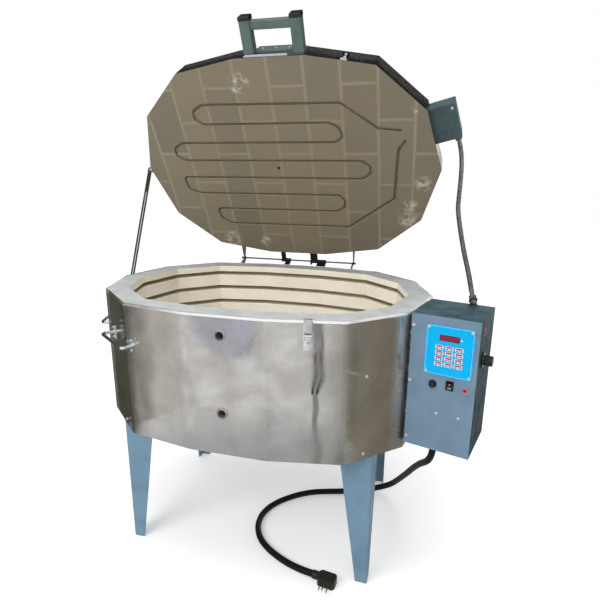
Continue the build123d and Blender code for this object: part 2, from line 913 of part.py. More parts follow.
def make_panel_bezels():
    # Rocker housing, lamp bodies, fuse holder and the knob's bush nut
    open_a, open_z = rocker_opening()
    half_a, half_z = rocker_bezel_width / 2, rocker_bezel_height / 2
    rim = block((-half_a, -2, -half_z), (half_a, 0, half_z))
    housing = block((-half_a + 1.1, -1, -half_z + 1.1), (half_a - 1.1, 24, half_z - 1.1))
    hollow = block((-open_a, -5, -open_z), (open_a, 14, open_z))
    bore = rod((-half_a, rocker_pin_depth, 0), (half_a, rocker_pin_depth, 0), rocker_pin_radius + running)
    pieces = [Pos(rocker_a, 0, rocker_z) * (rim + housing - hollow - bore)]
    holder = rod((fuse_a, -2, fuse_z), (fuse_a, 0, fuse_z), fuse_flange_radius)
    holder += rod((fuse_a, -1, fuse_z), (fuse_a, 34, fuse_z), 7)
    holder -= rod((fuse_a, -5, fuse_z), (fuse_a, 14, fuse_z), fuse_spigot_radius + running)
    pieces.append(holder)
    lamp = rod((lamp_front_a, -2, lamp_front_z), (lamp_front_a, 0, lamp_front_z), lamp_bezel_radius)
    lamp += rod((lamp_front_a, -1, lamp_front_z), (lamp_front_a, 22, lamp_front_z), lamp_radius)
    lamp -= rod((lamp_front_a, -5, lamp_front_z), (lamp_front_a, 2, lamp_front_z), lamp_radius - 1)
    pieces.append(lamp)
    w = box_width
    lamp = rod((w, lamp_side_c, lamp_side_z), (w + 2, lamp_side_c, lamp_side_z), lamp_bezel_radius)
    lamp += rod((w + 1, lamp_side_c, lamp_side_z), (w - 22, lamp_side_c, lamp_side_z), lamp_radius)
    lamp -= rod((w - 2, lamp_side_c, lamp_side_z), (w + 5, lamp_side_c, lamp_side_z), lamp_radius - 1)
    pieces.append(lamp)
    nut = rod((w - 12, knob_c, knob_z), (w + 1.5, knob_c, knob_z), knob_shaft_radius + 2.4)
    nut += Plane(origin=(w, knob_c, knob_z), x_dir=(0, 1, 0), z_dir=(1, 0, 0)) * extrude(
        RegularPolygon(8, 6), amount=1.5)
    nut -= rod((w - 20, knob_c, knob_z), (w + 5, knob_c, knob_z), knob_shaft_radius + running)
    pieces.append(nut)
    return [in_box(piece) for piece in pieces]


def make_fuse_cap():
    head = Cylinder(fuse_cap_radius, fuse_cap_height, align=(Align.CENTER, Align.CENTER, Align.MIN))
    head = chamfer(head.edges().sort_by(Axis.Z)[-1], 1.2)
    slot = Pos(0, 0, fuse_cap_height) * Box(12, 1.6, 3)
    cap = front_plane(fuse_a, fuse_z, -2 - running) * (head - slot)
    cap += rod((fuse_a, -3, fuse_z), (fuse_a, 12, fuse_z), fuse_spigot_radius)
    return [in_box(cap)]


def make_pilot_lenses():
    dome = Cylinder(lamp_radius - 1 - running, 5.5, align=(Align.CENTER, Align.CENTER, Align.MIN))
    dome = fillet(dome.edges().sort_by(Axis.Z)[-1], 2.2)
    front = front_plane(lamp_front_a, lamp_front_z, 1.5) * dome
    side = side_plane(lamp_side_c, lamp_side_z, box_width - 1.5) * dome
    return [in_box(front), in_box(side)]


def make_dial_knob():
    start = box_width + 2.0
    plane = side_plane(knob_c, knob_z, start)
    skirt = Cylinder(knob_skirt_radius, knob_skirt, align=(Align.CENTER, Align.CENTER, Align.MIN))
    skirt = chamfer(skirt.edges().sort_by(Axis.Z)[-1], 1.2)
    grip = Cylinder(knob_radius, knob_height, align=(Align.CENTER, Align.CENTER, Align.MIN))
    grip = fillet(grip.edges().sort_by(Axis.Z)[-1], 2)
    for k in range(12):
        angle = math.radians(30 * k)
        flute = Pos(math.cos(angle) * (knob_radius + 1.2), math.sin(angle) * (knob_radius + 1.2), knob_height / 2 + 4)
        grip -= flute * Cylinder(2.4, knob_height + 2)
    shaft = rod((start - 17, knob_c, knob_z), (start + 5, knob_c, knob_z), knob_shaft_radius)
    return [in_box(plane * (skirt + grip) + shaft)]


def make_switchgear():
    # Three relays and a terminal strip on the rear wall, a transformer on the front tray,
    # and the rotary switch behind the knob
    back = box_depth - box_sheet
    pieces = []
    for k in range(3):
        low = 60 + k * 74
        relay = block((66, back - 46, low), (122, back, low + 58))
        relay += block((72, back - 54, low + 8), (116, back - 45, low + 50))
        pieces.append(relay)
    strip = block((22, back - 22, 296), (100, back, 318))
    for k in range(6):
        strip -= block((26 + 12 * k, back - 23, 299), (34 + 12 * k, back - 14, 315))
    pieces.append(strip)
    low_a, high_a = tray_screw_a[0] - 10, tray_screw_a[1] + 10
    coil = block((low_a, box_sheet, tray_screw_z - 24), (high_a, box_sheet + 3, tray_screw_z + 24))
    coil += block((low_a + 16, box_sheet + 1, tray_screw_z - 20), (high_a - 16, box_sheet + 42, tray_screw_z + 20))
    coil += block((low_a + 24, box_sheet + 40, tray_screw_z - 12), (high_a - 24, box_sheet + 48, tray_screw_z + 12))
    for a in tray_screw_a:
        coil -= screw_hole(front_plane(a, tray_screw_z), short_screw)
    pieces.append(coil)
    w = box_width
    switch = block((w - 46, knob_c - 18, knob_z - 16), (w - 12, knob_c + 18, knob_z + 16))
    switch -= rod((w - 20, knob_c, knob_z), (w - 5, knob_c, knob_z), knob_shaft_radius + running)
    pieces.append(switch)
    return [in_box(piece) for piece in pieces]


# Supply cord

def gland_point(z):
    x, y, _ = box_point(gland_a, gland_c, 0)
    return x, y, z


def cord_points():
    # Straight down out of the gland, under the kiln across the floor, and round to the plug
    heading = math.radians(plug_heading)
    x, y, z = plug_entry
    before = (x - last_run * math.cos(heading), y - last_run * math.sin(heading), z)
    leave = box_foot - gland_drop
    return [gland_point(leave), gland_point(leave - first_run)] + list(cord_route) + [before, plug_entry]


def make_cord_gland():
    foot = -gland_drop
    body = rod((gland_a, gland_c, -9), (gland_a, gland_c, 0), 18)
    body += rod((gland_a, gland_c, -2), (gland_a, gland_c, 10), cord_radius + 3.5)
    nut = Pos(gland_a, gland_c, -18) * extrude(RegularPolygon(19, 6), amount=10)
    cone = Pos(gland_a, gland_c, foot) * Cone(cord_radius + 3, 17, 10, align=(Align.CENTER, Align.CENTER, Align.MIN))
    inside = Pos(gland_a, gland_c, box_sheet) * (
        extrude(RegularPolygon(20, 6), amount=5) - extrude(Circle(cord_radius + 3), amount=5))
    return [in_box(body + nut + cone + inside)]


def make_power_cord():
    path, radii = bent_path(cord_points())
    cord = swept_round(path, cord_radius)
    expected = math.pi * cord_radius ** 2 * path.length
    print("cord length", round(path.length, 1), "radii", [round(r) for r in radii])
    print("cord volume over section times length", round(cord.volume / expected, 5))
    return [cord]


def plug_frame():
    x, y, z = plug_entry
    heading = math.radians(plug_heading)
    return Plane(origin=(x, y, z), x_dir=(math.cos(heading), math.sin(heading), 0), z_dir=(0, 0, 1))


def make_plug_body():
    # Right-angle body: the cord comes in along its length, the blades leave across it
    neck = rod((0, 0, 0), (26, 0, 0), cord_radius + 2.5)
    body = block((20, -plug_front, plug_low), (20 + plug_length, plug_back, plug_high))
    upright = body.edges().filter_by(Axis.Z)
    body = fillet(upright, 10)
    body = fillet(body.edges().filter_by(Axis.Z, reverse=True), 1.5)
    return [plug_frame() * (body + neck)]


def make_plug_blades():
    middle = 20 + plug_length / 2
    y = -plug_front
    blades = [
        block((middle - 13, y - blade_reach, -4), (middle - 11, y, 4)),
        block((middle + 11, y - blade_reach, -4), (middle + 13, y, 4)),
        rod((middle, y, 8), (middle, y - blade_reach - 3, 8), 2.4),
    ]
    return [plug_frame() * blade for blade in blades]


# Hinge

def make_hinge_rod():
    shaft = rod((rod_left, hinge_y, hinge_z), (rod_right, hinge_y, hinge_z), rod_radius)
    head = rod((rod_left - 3, hinge_y, hinge_z), (rod_left, hinge_y, hinge_z), rod_radius + 2)
    clip = rod((rod_right, hinge_y, hinge_z), (rod_right + 2, hinge_y, hinge_z), rod_radius + 2)
    return [shaft + head + clip]


def eye(left, right):
    return rod((left, hinge_y, hinge_z), (right, hinge_y, hinge_z), eye_radius)


def eye_bore(left, right, clearance):
    return rod((left - 1, hinge_y, hinge_z), (right + 1, hinge_y, hinge_z), rod_radius + clearance)


def body_strap(leaf_left, leaf_right, eye_left, eye_right):
    back = half_depth
    leaf = block((leaf_left, back, rim_z - 70), (leaf_right, back + strap_sheet, rim_z - 12))
    arm = side_profile([(back, rim_z - 12), (back, rim_z - 18), (back + 4, rim_z - 18),
                        (hinge_y + 4, hinge_z - 7), (hinge_y + 6, hinge_z - 2), (hinge_y - 6, hinge_z)],
                       eye_left, eye_right)
    return leaf + arm + eye(eye_left, eye_right) - eye_bore(eye_left, eye_right, 0)


def lid_strap(leaf_left, leaf_right, eye_left, eye_right):
    back = half_depth
    leaf = block((leaf_left, back, lid_z + 14), (leaf_right, back + strap_sheet, lid_z + 72))
    arm = side_profile([(back, lid_z + 20), (back, lid_z + 12), (hinge_y - 6, hinge_z),
                        (hinge_y + 6, hinge_z + 3), (hinge_y + 3, hinge_z + 7), (back + 4, lid_z + 20)],
                       eye_left, eye_right)
    return leaf + arm + eye(eye_left, eye_right) - eye_bore(eye_left, eye_right, running)


def lug_plate(x, rises):
    # A plate square to the rod, its foot bent flat against the facet beside it
    i = lug_facet(x)
    edges = (x, x + lug_sheet)
    face_y = max(corners[i][1] + along[i][1] * lug_t(i, edge) for edge in edges)
    if rises:
        points = [(face_y, lid_z + 62), (face_y, lid_z + 12), (hinge_y - 6, hinge_z - 4),
                  (hinge_y + 7, hinge_z - 3), (hinge_y + 7, hinge_z + 5), (hinge_y - 4, hinge_z + 12),
                  (face_y + 14, lid_z + 62)]
        low, high = lid_z + 12, lid_z + 62
    else:
        points = [(face_y, rim_z - 62), (face_y, rim_z - 10), (hinge_y - 6, hinge_z + 5),
                  (hinge_y + 7, hinge_z + 4), (hinge_y + 7, hinge_z - 6), (hinge_y - 8, hinge_z - 16),
                  (face_y + 14, rim_z - 62)]
        low, high = rim_z - 62, rim_z - 10
    plate = side_profile(points, x, x + lug_sheet)
    foot = Box(lug_foot, high - low, lug_sheet, align=(Align.CENTER, Align.CENTER, Align.MIN))
    return plate + on_facet(i, lug_screw_t(x), (low + high) / 2) * foot


def make_body_hinge_straps():
    pieces = [body_strap(-70, -38, -57.4, -38), body_strap(76.5, 111, 76.5, 111)]
    for x in body_lugs:
        plate = lug_plate(x, False)
        pieces.append(plate - eye_bore(x, x + lug_sheet, 0))
    for plane in strap_screw_planes() + lug_screw_planes():
        hole = screw_hole(plane)
        pieces = [piece - hole for piece in pieces]
    return pieces


def lid_strap_screws():
    planes = []
    for x in (-60.5, 72.5):
        for h in (35, 60):
            planes.append(on_facet(6, centre_facet / 2 - x, lid_z + h, strap_sheet))
    return planes


def lid_lug_screws():
    planes = []
    for x in lid_lugs:
        for h in (28, 50):
            planes.append(on_facet(lug_facet(x), lug_screw_t(x), lid_z + h, lug_sheet))
    return planes


def make_lid_hinge_straps():
    tab = block((47, hinge_y + 2, hinge_z - 16), (55, hinge_y + 5, hinge_z - 4))
    pieces = [lid_strap(-76, -45, -76, -58), lid_strap(47, 98, 47, 76)]
    pieces[1] = pieces[1] + tab
    for x in lid_lugs:
        plate = lug_plate(x, True)
        pieces.append(plate - eye_bore(x, x + lug_sheet, running))
    for plane in lid_strap_screws() + lid_lug_screws():
        hole = screw_hole(plane)
        pieces = [piece - hole for piece in pieces]
    return [tilt_lid(piece) for piece in pieces]


# Lid, built closed and then tilted open about the hinge rod

def lid_point(i, t, h, out=0.0):
    return point_on(i, t, lid_z + h, out)


def lid_row(k):
    return lid_row_first + k * lid_row_pitch


def lid_route():
    # The element's path over the underside, from the front tail round to the rear one
    (tail_t, tail_in), (back_t, back_in) = lid_tails
    z = lid_z + lid_groove_depth / 2
    r = [lid_row(k) for k in range(8)]
    flat = [
        (330, -144), (212, r[0] + 4), (-262, r[0]), (-298, r[0] + 20), (-298, r[1] - 20), (-268, r[1]),
        (168, r[1]), (200, r[1] + 14), (214, r[2] - 20), (190, r[2]), (-372, r[2]), (-408, r[2] + 20),
        (-408, r[3] - 20), (-378, r[3]), (274, r[3]), (302, r[3] + 20), (302, r[4] - 20), (274, r[4]),
        (-405, r[4]), (-396, r[5] - 16), (-352, r[5]), (188, r[5]), (210, r[5] + 20), (204, r[6] - 18),
        (176, r[6]), (-298, r[6]), (-292, r[7] - 22), (-252, r[7]), (216, r[7]), (384, 112), (394, -70),
    ]
    start = lid_point(2, tail_t, 0, tail_in)
    end = lid_point(2, back_t, 0, back_in)
    points = [lid_point(2, tail_t, lid_tail_rise, tail_out), lid_point(2, tail_t, lid_tail_rise, tail_in)]
    points.append((start[0], start[1], z))
    points += [(x, y, z) for x, y in flat]
    points.append((end[0], end[1], z))
    points += [lid_point(2, back_t, lid_tail_rise, back_in), lid_point(2, back_t, lid_tail_rise, tail_out)]
    return points


def lid_bent_path():
    path, _ = bent_path(lid_route(), radius=coil_bend)
    return path


def make_lid_slab():
    slab = prism(outline(jacket_sheet), lid_z, lid_z + lid_brick)
    flat = [(x, y) for x, y, _ in lid_route()[2:-2]]
    line, _ = bent_path([(x, y, lid_z) for x, y in flat], radius=coil_bend)
    start = Plane(origin=line @ 0, x_dir=(0, 0, 1), z_dir=line % 0)
    section = start * Rectangle(2 * lid_groove_depth, lid_groove_width)
    slab -= sweep(section, path=line)
    slab -= swept_round(lid_bent_path(), lid_coil_radius + free_fit)
    for t, _ in lid_tails:
        slab -= rod(lid_point(2, t, lid_tail_rise, -60), lid_point(2, t, lid_tail_rise, 5),
                    bushing_radius + screw_clearance)
    for plane, length in lid_screw_planes():
        slab -= screw_hole(plane, length)
    return [tilt_lid(slab)]


def make_lid_band():
    band = ring(0, jacket_sheet, lid_z, lid_z + lid_band_height)
    band += ring(jacket_sheet / 2, jacket_sheet + hem_width, lid_z + lid_band_height - 1, lid_z + lid_band_height)
    for t, _ in lid_tails:
        band -= rod(lid_point(2, t, lid_tail_rise, -8), lid_point(2, t, lid_tail_rise, 5),
                    bushing_radius + screw_clearance)
    for plane, length in lid_screw_planes():
        band -= screw_hole(plane, length)
    return [tilt_lid(band)]


def make_lid_element():
    return [tilt_lid(swept_round(lid_bent_path(), lid_coil_radius))]


def make_lid_bushings():
    pieces = []
    for t, _ in lid_tails:
        start, end = lid_point(2, t, lid_tail_rise, 12), lid_point(2, t, lid_tail_rise, -60)
        pieces.append(tilt_lid(tube(start, end, bushing_radius, lid_coil_radius + 0.5)))
    return pieces


def lid_screw_planes():
    # Screws of the straps, lugs, handle, junction box and keeper, with their lengths
    planes = [(p, screw_length) for p in lid_strap_screws() + lid_lug_screws()]
    planes += [(p, 30) for p in handle_screws()]
    planes += [(p, screw_length) for p in lid_box_screws() + keeper_screws()]
    return planes


def handle_screws():
    seat = handle_plate_sheet + mount_bar_depth
    t0 = -corners[13][0]
    return [on_facet(13, t0 + x, lid_z + 48, seat) for x in (-30, 13, 56)]


def lid_box_screws():
    return [on_facet(2, t, lid_z + (lid_box_low + lid_box_high) / 2 + rise, box_sheet)
            for t, rise in ((22, 0), (lid_box_end - 10, 0))]


def keeper_screws():
    return [on_facet(0, latch_t, lid_z + h, 1.5) for h in (26, 50)]


def make_lid_screws():
    pieces = [screw(plane, length) for plane, length in lid_screw_planes()]
    pieces.append(stay_shoulder_screw())
    pieces.append(screw(lid_box_cover_plane(), short_screw))
    return [tilt_lid(piece) for piece in pieces]


def lid_box_cover_plane():
    low = lid_z + lid_box_low
    x, y, z = point_on(2, lid_box_start + 14, low, lid_box_reach - 12)
    return Plane(origin=(x, y, z), z_dir=(0, 0, -1))


def make_handle_plate():
    front = -half_depth
    low, high = lid_z + handle_plate_low, lid_z + handle_plate_high
    right = post_right + post_side
    plate = block((post_left, front - handle_plate_sheet, low), (right, front, high))
    lip = block((post_left + 6, front - handle_plate_sheet - handle_lip, low),
                (post_right - free_fit, front - handle_plate_sheet + 1, lid_z + post_low - free_fit))
    plate += lip
    for plane in handle_screws():
        plate -= screw_hole(plane, 30)
    return [tilt_lid(plate)]


def make_handle_frame():
    front = -half_depth - handle_plate_sheet
    end = front - post_reach + cap_length - handle_plate_sheet
    low = lid_z + post_low
    pieces = None
    for left in (post_left, post_right):
        post = block((left, end, low), (left + post_side, front, low + post_side))
        post = fillet(post.edges().filter_by(Axis.Y), 2.5)
        inner = block((left + post_wall, end - 1, low + post_wall),
                      (left + post_side - post_wall, front - 8, low + post_side - post_wall))
        post -= inner
        pieces = post if pieces is None else pieces + post
    left, right = post_left + post_side, post_right
    grip_low = low + (post_side - grip_side) / 2
    grip = block((left - 1, end + grip_setback, grip_low),
                 (right + 1, end + grip_setback + grip_side, grip_low + grip_side))
    grip = fillet(grip.edges().filter_by(Axis.X), 2.5)
    inner = block((left + 3, end + grip_setback + post_wall, grip_low + post_wall),
                  (right - 3, end + grip_setback + grip_side - post_wall, grip_low + grip_side - post_wall))
    grip -= inner
    bar = block((left - 1, front - mount_bar_depth, lid_z + mount_bar_low),
                (right + 1, front, lid_z + mount_bar_high))
    frame = pieces + grip + bar
    for plane in handle_screws():
        frame -= screw_hole(plane, 30)
    return [tilt_lid(frame)]


def make_handle_caps():
    front = -half_depth - handle_plate_sheet
    end = front - post_reach + cap_length - handle_plate_sheet
    low = lid_z + post_low
    caps = []
    for left in (post_left, post_right):
        head = block((left - 1, end - cap_length, low - 1), (left + post_side + 1, end, low + post_side + 1))
        head = fillet(head.edges().group_by(Axis.Y)[0], 4)
        head = fillet(head.edges().filter_by(Axis.Y), 3)
        m = post_wall + free_fit
        plug = block((left + m, end - 1, low + m), (left + post_side - m, end + cap_plug, low + post_side - m))
        caps.append(tilt_lid(head + plug))
    return caps


def lid_box_corners(inset, near, far):
    low, high = lid_box_start + inset, lid_box_end - inset
    pairs = ((low, near), (high, near), (high, far), (low, far))
    return [lid_point(2, t, 0, out)[:2] for t, out in pairs]


def lid_conduit_point():
    # Where the conduit leaves the rear end of the lid's junction box
    return lid_point(2, lid_box_end, conduit_exit_rise, conduit_exit_out)


def make_junction_box():
    low, high = lid_z + lid_box_low, lid_z + lid_box_high
    box = prism(lid_box_corners(0, 0, lid_box_reach), low, high)
    s = box_sheet
    box -= prism(lid_box_corners(s, s, lid_box_reach - s), low + s, high - s)
    for t, _ in lid_tails:
        box -= rod(lid_point(2, t, lid_tail_rise, -5), lid_point(2, t, lid_tail_rise, 8),
                   bushing_radius + free_fit)
    for plane in lid_box_screws():
        box -= screw_hole(plane)
    plane = lid_box_cover_plane()
    box -= screw_hole(plane, short_screw)
    inner = lid_point(2, lid_box_end - 8, conduit_exit_rise, conduit_exit_out)
    outer = lid_point(2, lid_box_end + 8, conduit_exit_rise, conduit_exit_out)
    box -= rod(inner, outer, conduit_radius + screw_clearance)
    return [tilt_lid(box)]


def make_latch_keeper():
    low, high = lid_z + keeper_lip_low, lid_z + keeper_top
    plate = Box(keeper_width, high - low, 1.5, align=(Align.CENTER, Align.MIN, Align.MIN))
    lip = Box(keeper_width - 4, keeper_lip_sheet, keeper_lip, align=(Align.CENTER, Align.MIN, Align.MIN))
    keeper = on_facet(0, latch_t, low) * (plate + lip)
    for plane in keeper_screws():
        keeper -= screw_hole(plane)
    return [tilt_lid(keeper)]


# Latch on facet 0, drawn with x along the facet, y up and z outwards

def in_latch(shape):
    return on_facet(0, latch_t, latch_pin_z) * shape


def arm_inside():
    # Inner face of the claw's side arms, outside the lever
    return latch_width / 2 + free_fit


def arm_outside():
    return arm_inside() + latch_sheet


def make_latch_base():
    gap = arm_outside() + free_fit
    width = 2 * (gap + ear_sheet)
    plate = Pos(0, -42, 0) * Box(width, 78, ear_sheet, align=(Align.CENTER, Align.MIN, Align.MIN))
    for left in (gap, -gap - ear_sheet):
        ear = Box(ear_sheet, 14, 11, align=(Align.MIN, Align.MIN, Align.MIN))
        plate += Pos(left, -7, 1) * ear
    plate += rod((-gap - 1, 0, latch_pin_out), (gap + 1, 0, latch_pin_out), latch_pin_radius)
    base = in_latch(plate)
    for z in (latch_pin_z - 30, latch_pin_z + 24):
        base -= screw_hole(on_facet(0, latch_t, z, ear_sheet))
    return [base]


def make_latch_lever():
    # Shield-shaped lever hanging from its pin, with a smaller pin in front that carries the claw
    half = latch_width / 2
    shield = Polyline((-half, 0), (-half, -20), (0, -30), (half, -20), (half, 0), close=True)
    lever = Pos(0, 0, latch_pin_out - 1) * extrude(make_face(shield), amount=2)
    lever -= Pos(0, -19, 0) * Cylinder(2, 40)
    lever += rod((-half, 0, latch_pin_out), (half, 0, latch_pin_out), latch_pin_radius + 2)
    y, out = claw_pin()
    lever += block((-half + 3, y - 2.5, latch_pin_out), (half - 3, y + 2.5, out))
    end = arm_outside()
    lever += rod((-end, y, out), (end, y, out), claw_pin_radius)
    lever -= rod((-half - 1, 0, latch_pin_out), (half + 1, 0, latch_pin_out), latch_pin_radius + running)
    return [in_latch(lever)]


def claw_pin():
    return -claw_pin_drop, latch_pin_out + claw_pin_forward


def make_latch_claw():
    # A plate with a turned-over top, on two arms that pass in front of the lever's own pin
    y, out = claw_pin()
    front = out + latch_sheet
    top = rim_z + claw_top - latch_pin_z
    half = arm_outside()
    claw = block((-half, 12, out), (half, top, front))
    claw += block((-half, top - latch_sheet, keeper_lip + free_fit), (half, top, front))
    for left in (arm_inside(), -half):
        claw += block((left, y - 3, out - 2), (left + latch_sheet, 14, front))
    claw -= rod((-half - 1, y, out), (half + 1, y, out), claw_pin_radius + running)
    return [in_latch(claw)]


# Stay on the left

def stay_points():
    # Pivot on the lid (closed) and stud on the body lie on one circle about the hinge
    pivot_z = rim_z + stay_pivot_rise
    radius = math.hypot(stay_pivot_y - hinge_y, pivot_z - hinge_z)
    start = math.atan2(pivot_z - hinge_z, stay_pivot_y - hinge_y)
    angle = start + math.radians(stay_stud_turn)
    stud = (hinge_y + radius * math.cos(angle), hinge_z + radius * math.sin(angle))
    opened = start - math.radians(lid_angle)
    pivot_open = (hinge_y + radius * math.cos(opened), hinge_z + radius * math.sin(opened))
    return (stay_pivot_y, pivot_z), pivot_open, stud


def facet_trim():
    # Everything inside the jacket's outer face, used to cut bosses flush
    return prism(outline(0), 0, rim_z + 200)


def stay_shoulder_screw():
    pivot, _, _ = stay_points()
    y, z = pivot
    x = -stay_plane
    shaft = rod((-half_length + 20, y, z + 0), (x - stay_sheet / 2 - 1, y, z), pivot_radius)
    boss = rod((-half_length + 20, y, z), (x + stay_sheet / 2 + stay_play, y, z), boss_radius)
    head = rod((x - stay_sheet / 2 - stay_play, y, z), (x - stay_sheet / 2 - stay_play - 3, y, z), boss_radius)
    return (shaft + boss + head) - facet_trim()


def make_stay_stud():
    _, _, stud = stay_points()
    y, z = stud
    x = -stay_plane
    shaft = rod((-half_length + 20, y, z), (x - stay_sheet / 2 - 1, y, z), stud_radius)
    boss = rod((-half_length + 20, y, z), (x + stay_sheet / 2 + stay_play, y, z), boss_radius)
    head = rod((x - stay_sheet / 2 - stay_play, y, z),
               (x - stay_sheet / 2 - stay_play - washer_sheet, y, z), washer_radius)
    return [(shaft + boss + head) - facet_trim()]


def make_stay_bar():
    _, pivot, stud = stay_points()
    way = Vector(0, stud[0] - pivot[0], stud[1] - pivot[1]).normalized()
    plane = Plane(origin=(-stay_plane - stay_sheet / 2, pivot[0], pivot[1]), x_dir=way, z_dir=(1, 0, 0))
    half = stay_width / 2
    bar = SlotCenterToCenter(stay_length - stay_width, stay_width)
    bar = Pos((stay_length - stay_width) / 2, 0) * bar
    slot_end = stay_length - stay_width / 2 - 6
    slot_length = slot_end - stay_slot_start
    slot = Pos(stay_slot_start + slot_length / 2, 0) * SlotOverall(slot_length, stay_slot_width)
    face = bar - slot - Circle(pivot_radius + running)
    return [plane * extrude(face, amount=stay_sheet)]


# Conduit between the two boxes

def conduit_top():
    return tilt_point(lid_point(2, lid_box_end + fitting_reach, conduit_exit_rise, conduit_exit_out))


def conduit_way():
    start = Vector(*tilt_point(lid_conduit_point()))
    return (Vector(*conduit_top()) - start).normalized()


def elbow_centre():
    x, y, top = box_point(conduit_a, conduit_c, box_height)
    return Vector(x, y, top + elbow_rise)


def conduit_foot():
    return elbow_centre() + Vector(*elbow_way).normalized() * elbow_reach


def conduit_points():
    top, foot = Vector(*conduit_top()), conduit_foot()
    first = top + conduit_way() * 28
    last = foot + Vector(*elbow_way).normalized() * 34
    between = [(x, y, rim_z + rise) for x, y, rise in conduit_route]
    return [tuple(top), tuple(first)] + between + [tuple(last), tuple(foot)]


def conduit_path():
    return bent_path(conduit_points())


def steady_section(path, share, radius):
    # A circle square to the path, its X axis kept as near the model's as it goes
    way = path.tangent_at(share)
    side = Vector(1, 0, 0) - way * way.X
    return Plane(origin=path.position_at(share), x_dir=side, z_dir=way) * Circle(radius)


def make_conduit():
    path, radii = conduit_path()
    length = path.length
    straight = 2 * conduit_radius
    pitch = (length - 2 * straight) / rib_count
    low = conduit_radius - rib_depth
    sections = [(0.0, low)]
    for k in range(rib_count):
        start = straight + k * pitch
        for share, radius in ((0.0, low), (0.25, conduit_radius), (0.6, conduit_radius), (0.85, low)):
            sections.append((start + share * pitch, radius))
    sections.append((length, low))
    hose = loft([steady_section(path, s / length, r) for s, r in sections], ruled=True)
    bore = swept_round(path, conduit_bore_radius)
    print("conduit length", round(length, 1), "radii", [round(r) for r in radii])
    print("rib pitch", round(pitch, 2), "wall at a valley", round(low - conduit_bore_radius, 2))
    return [hose - bore]


def collar(start, way, reach):
    # Hexagon nut and clamp collar that hold the conduit's end
    plane = Plane(origin=start, z_dir=way)
    nut = extrude(RegularPolygon(13, 6), amount=5)
    sleeve = Cylinder(10.5, reach - 4, align=(Align.CENTER, Align.CENTER, Align.MIN))
    return plane * (nut + Pos(0, 0, 4) * sleeve)


def nipple(start, way, reach):
    # Threaded end through the box's wall with a lock ring inside
    plane = Plane(origin=start, z_dir=way)
    inside = Cylinder(conduit_radius, 8 + reach, align=(Align.CENTER, Align.CENTER, Align.MIN))
    lock = Cylinder(11, 4, align=(Align.CENTER, Align.CENTER, Align.MIN))
    return plane * (Pos(0, 0, -8) * inside + Pos(0, 0, -box_sheet - 4) * lock)


def make_conduit_fitting_lower():
    # An angled fitting: the nipple stands up from the box and the collar leans back
    centre = elbow_centre()
    foot = centre - Vector(0, 0, elbow_rise)
    way = Vector(*elbow_way).normalized()
    start = centre + way * 6
    body = nipple(foot, (0, 0, 1), elbow_rise) + Plane(origin=foot) * extrude(RegularPolygon(13, 6), amount=4)
    body += Pos(*centre) * Sphere(10.5) + collar(start, way, elbow_reach - 6)
    body -= rod(centre, centre + way * 60, conduit_bore_radius)
    body -= rod(foot - Vector(0, 0, 30), centre, conduit_bore_radius)
    return [body]


def make_conduit_fitting_upper():
    start = tilt_point(lid_conduit_point())
    way = conduit_way()
    body = nipple(start, way, 6) + collar(start, way, fitting_reach)
    begin = Vector(*start) - way * 20
    return [body - rod(begin, begin + way * 60, conduit_bore_radius)]


# All nodes, and the names they are written under

def make_nodes():
    nodes = {
        "legs": make_legs(),
        "leg_bolts": make_leg_bolts(),
        "base_pan": make_base_pan(),
        "floor_slab": make_floor_slab(),
        "wall_bricks": make_wall_bricks(),
        "jacket": make_jacket(),
        "body_screws": make_body_screws(),
        "peephole_bushes": make_peephole_bushes(),
        "side_elements": make_side_elements(),
        "element_bushings": make_element_bushings(),
        "thermocouple": make_thermocouple(),
        "grab_handles": make_grab_handles(),
        "control_box": make_control_box(),
        "front_panel": make_front_panel(),
        "controller_plate": make_controller_plate(),
        "display_window": make_display_window(),
        "circuit_board": make_circuit_board(),
        "rocker": make_rocker(),
        "panel_bezels": make_panel_bezels(),
        "fuse_cap": make_fuse_cap(),
        "pilot_lenses": make_pilot_lenses(),
        "dial_knob": make_dial_knob(),
        "switchgear": make_switchgear(),
        "cord_gland": make_cord_gland(),
        "power_cord": make_power_cord(),
        "plug_body": make_plug_body(),
        "plug_blades": make_plug_blades(),
        "hinge_rod": make_hinge_rod(),
        "body_hinge_straps": make_body_hinge_straps(),
        "lid_hinge_straps": make_lid_hinge_straps(),
        "lid_slab": make_lid_slab(),
        "lid_band": make_lid_band(),
        "lid_element": make_lid_element(),
        "lid_bushings": make_lid_bushings(),
        "lid_screws": make_lid_screws(),
        "handle_plate": make_handle_plate(),
        "handle_frame": make_handle_frame(),
        "handle_caps": make_handle_caps(),
        "junction_box": make_junction_box(),
        "latch_keeper": make_latch_keeper(),
        "latch_base": make_latch_base(),
        "latch_lever": make_latch_lever(),
        "latch_claw": make_latch_claw(),
        "stay_stud": make_stay_stud(),
        "stay_bar": make_stay_bar(),
        "conduit": make_conduit(),
        "conduit_fitting_lower": make_conduit_fitting_lower(),
        "conduit_fitting_upper": make_conduit_fitting_upper(),
    }
    for number, (a, z) in enumerate(key_places(), start=1):
        nodes[f"key_{number}"] = make_key(a, z)
    return nodes


cord_nodes = ("power_cord", "plug_body", "plug_blades")


def base_shift(nodes):
    # Move from the middle of the kiln to the middle of everything but the cord
    boxes = [piece.bounding_box() for name, pieces in nodes.items() if name not in cord_nodes for piece in pieces]
    x = (min(b.min.X for b in boxes) + max(b.max.X for b in boxes)) / 2
    y = (min(b.min.Y for b in boxes) + max(b.max.Y for b in boxes)) / 2
    return -x, -y


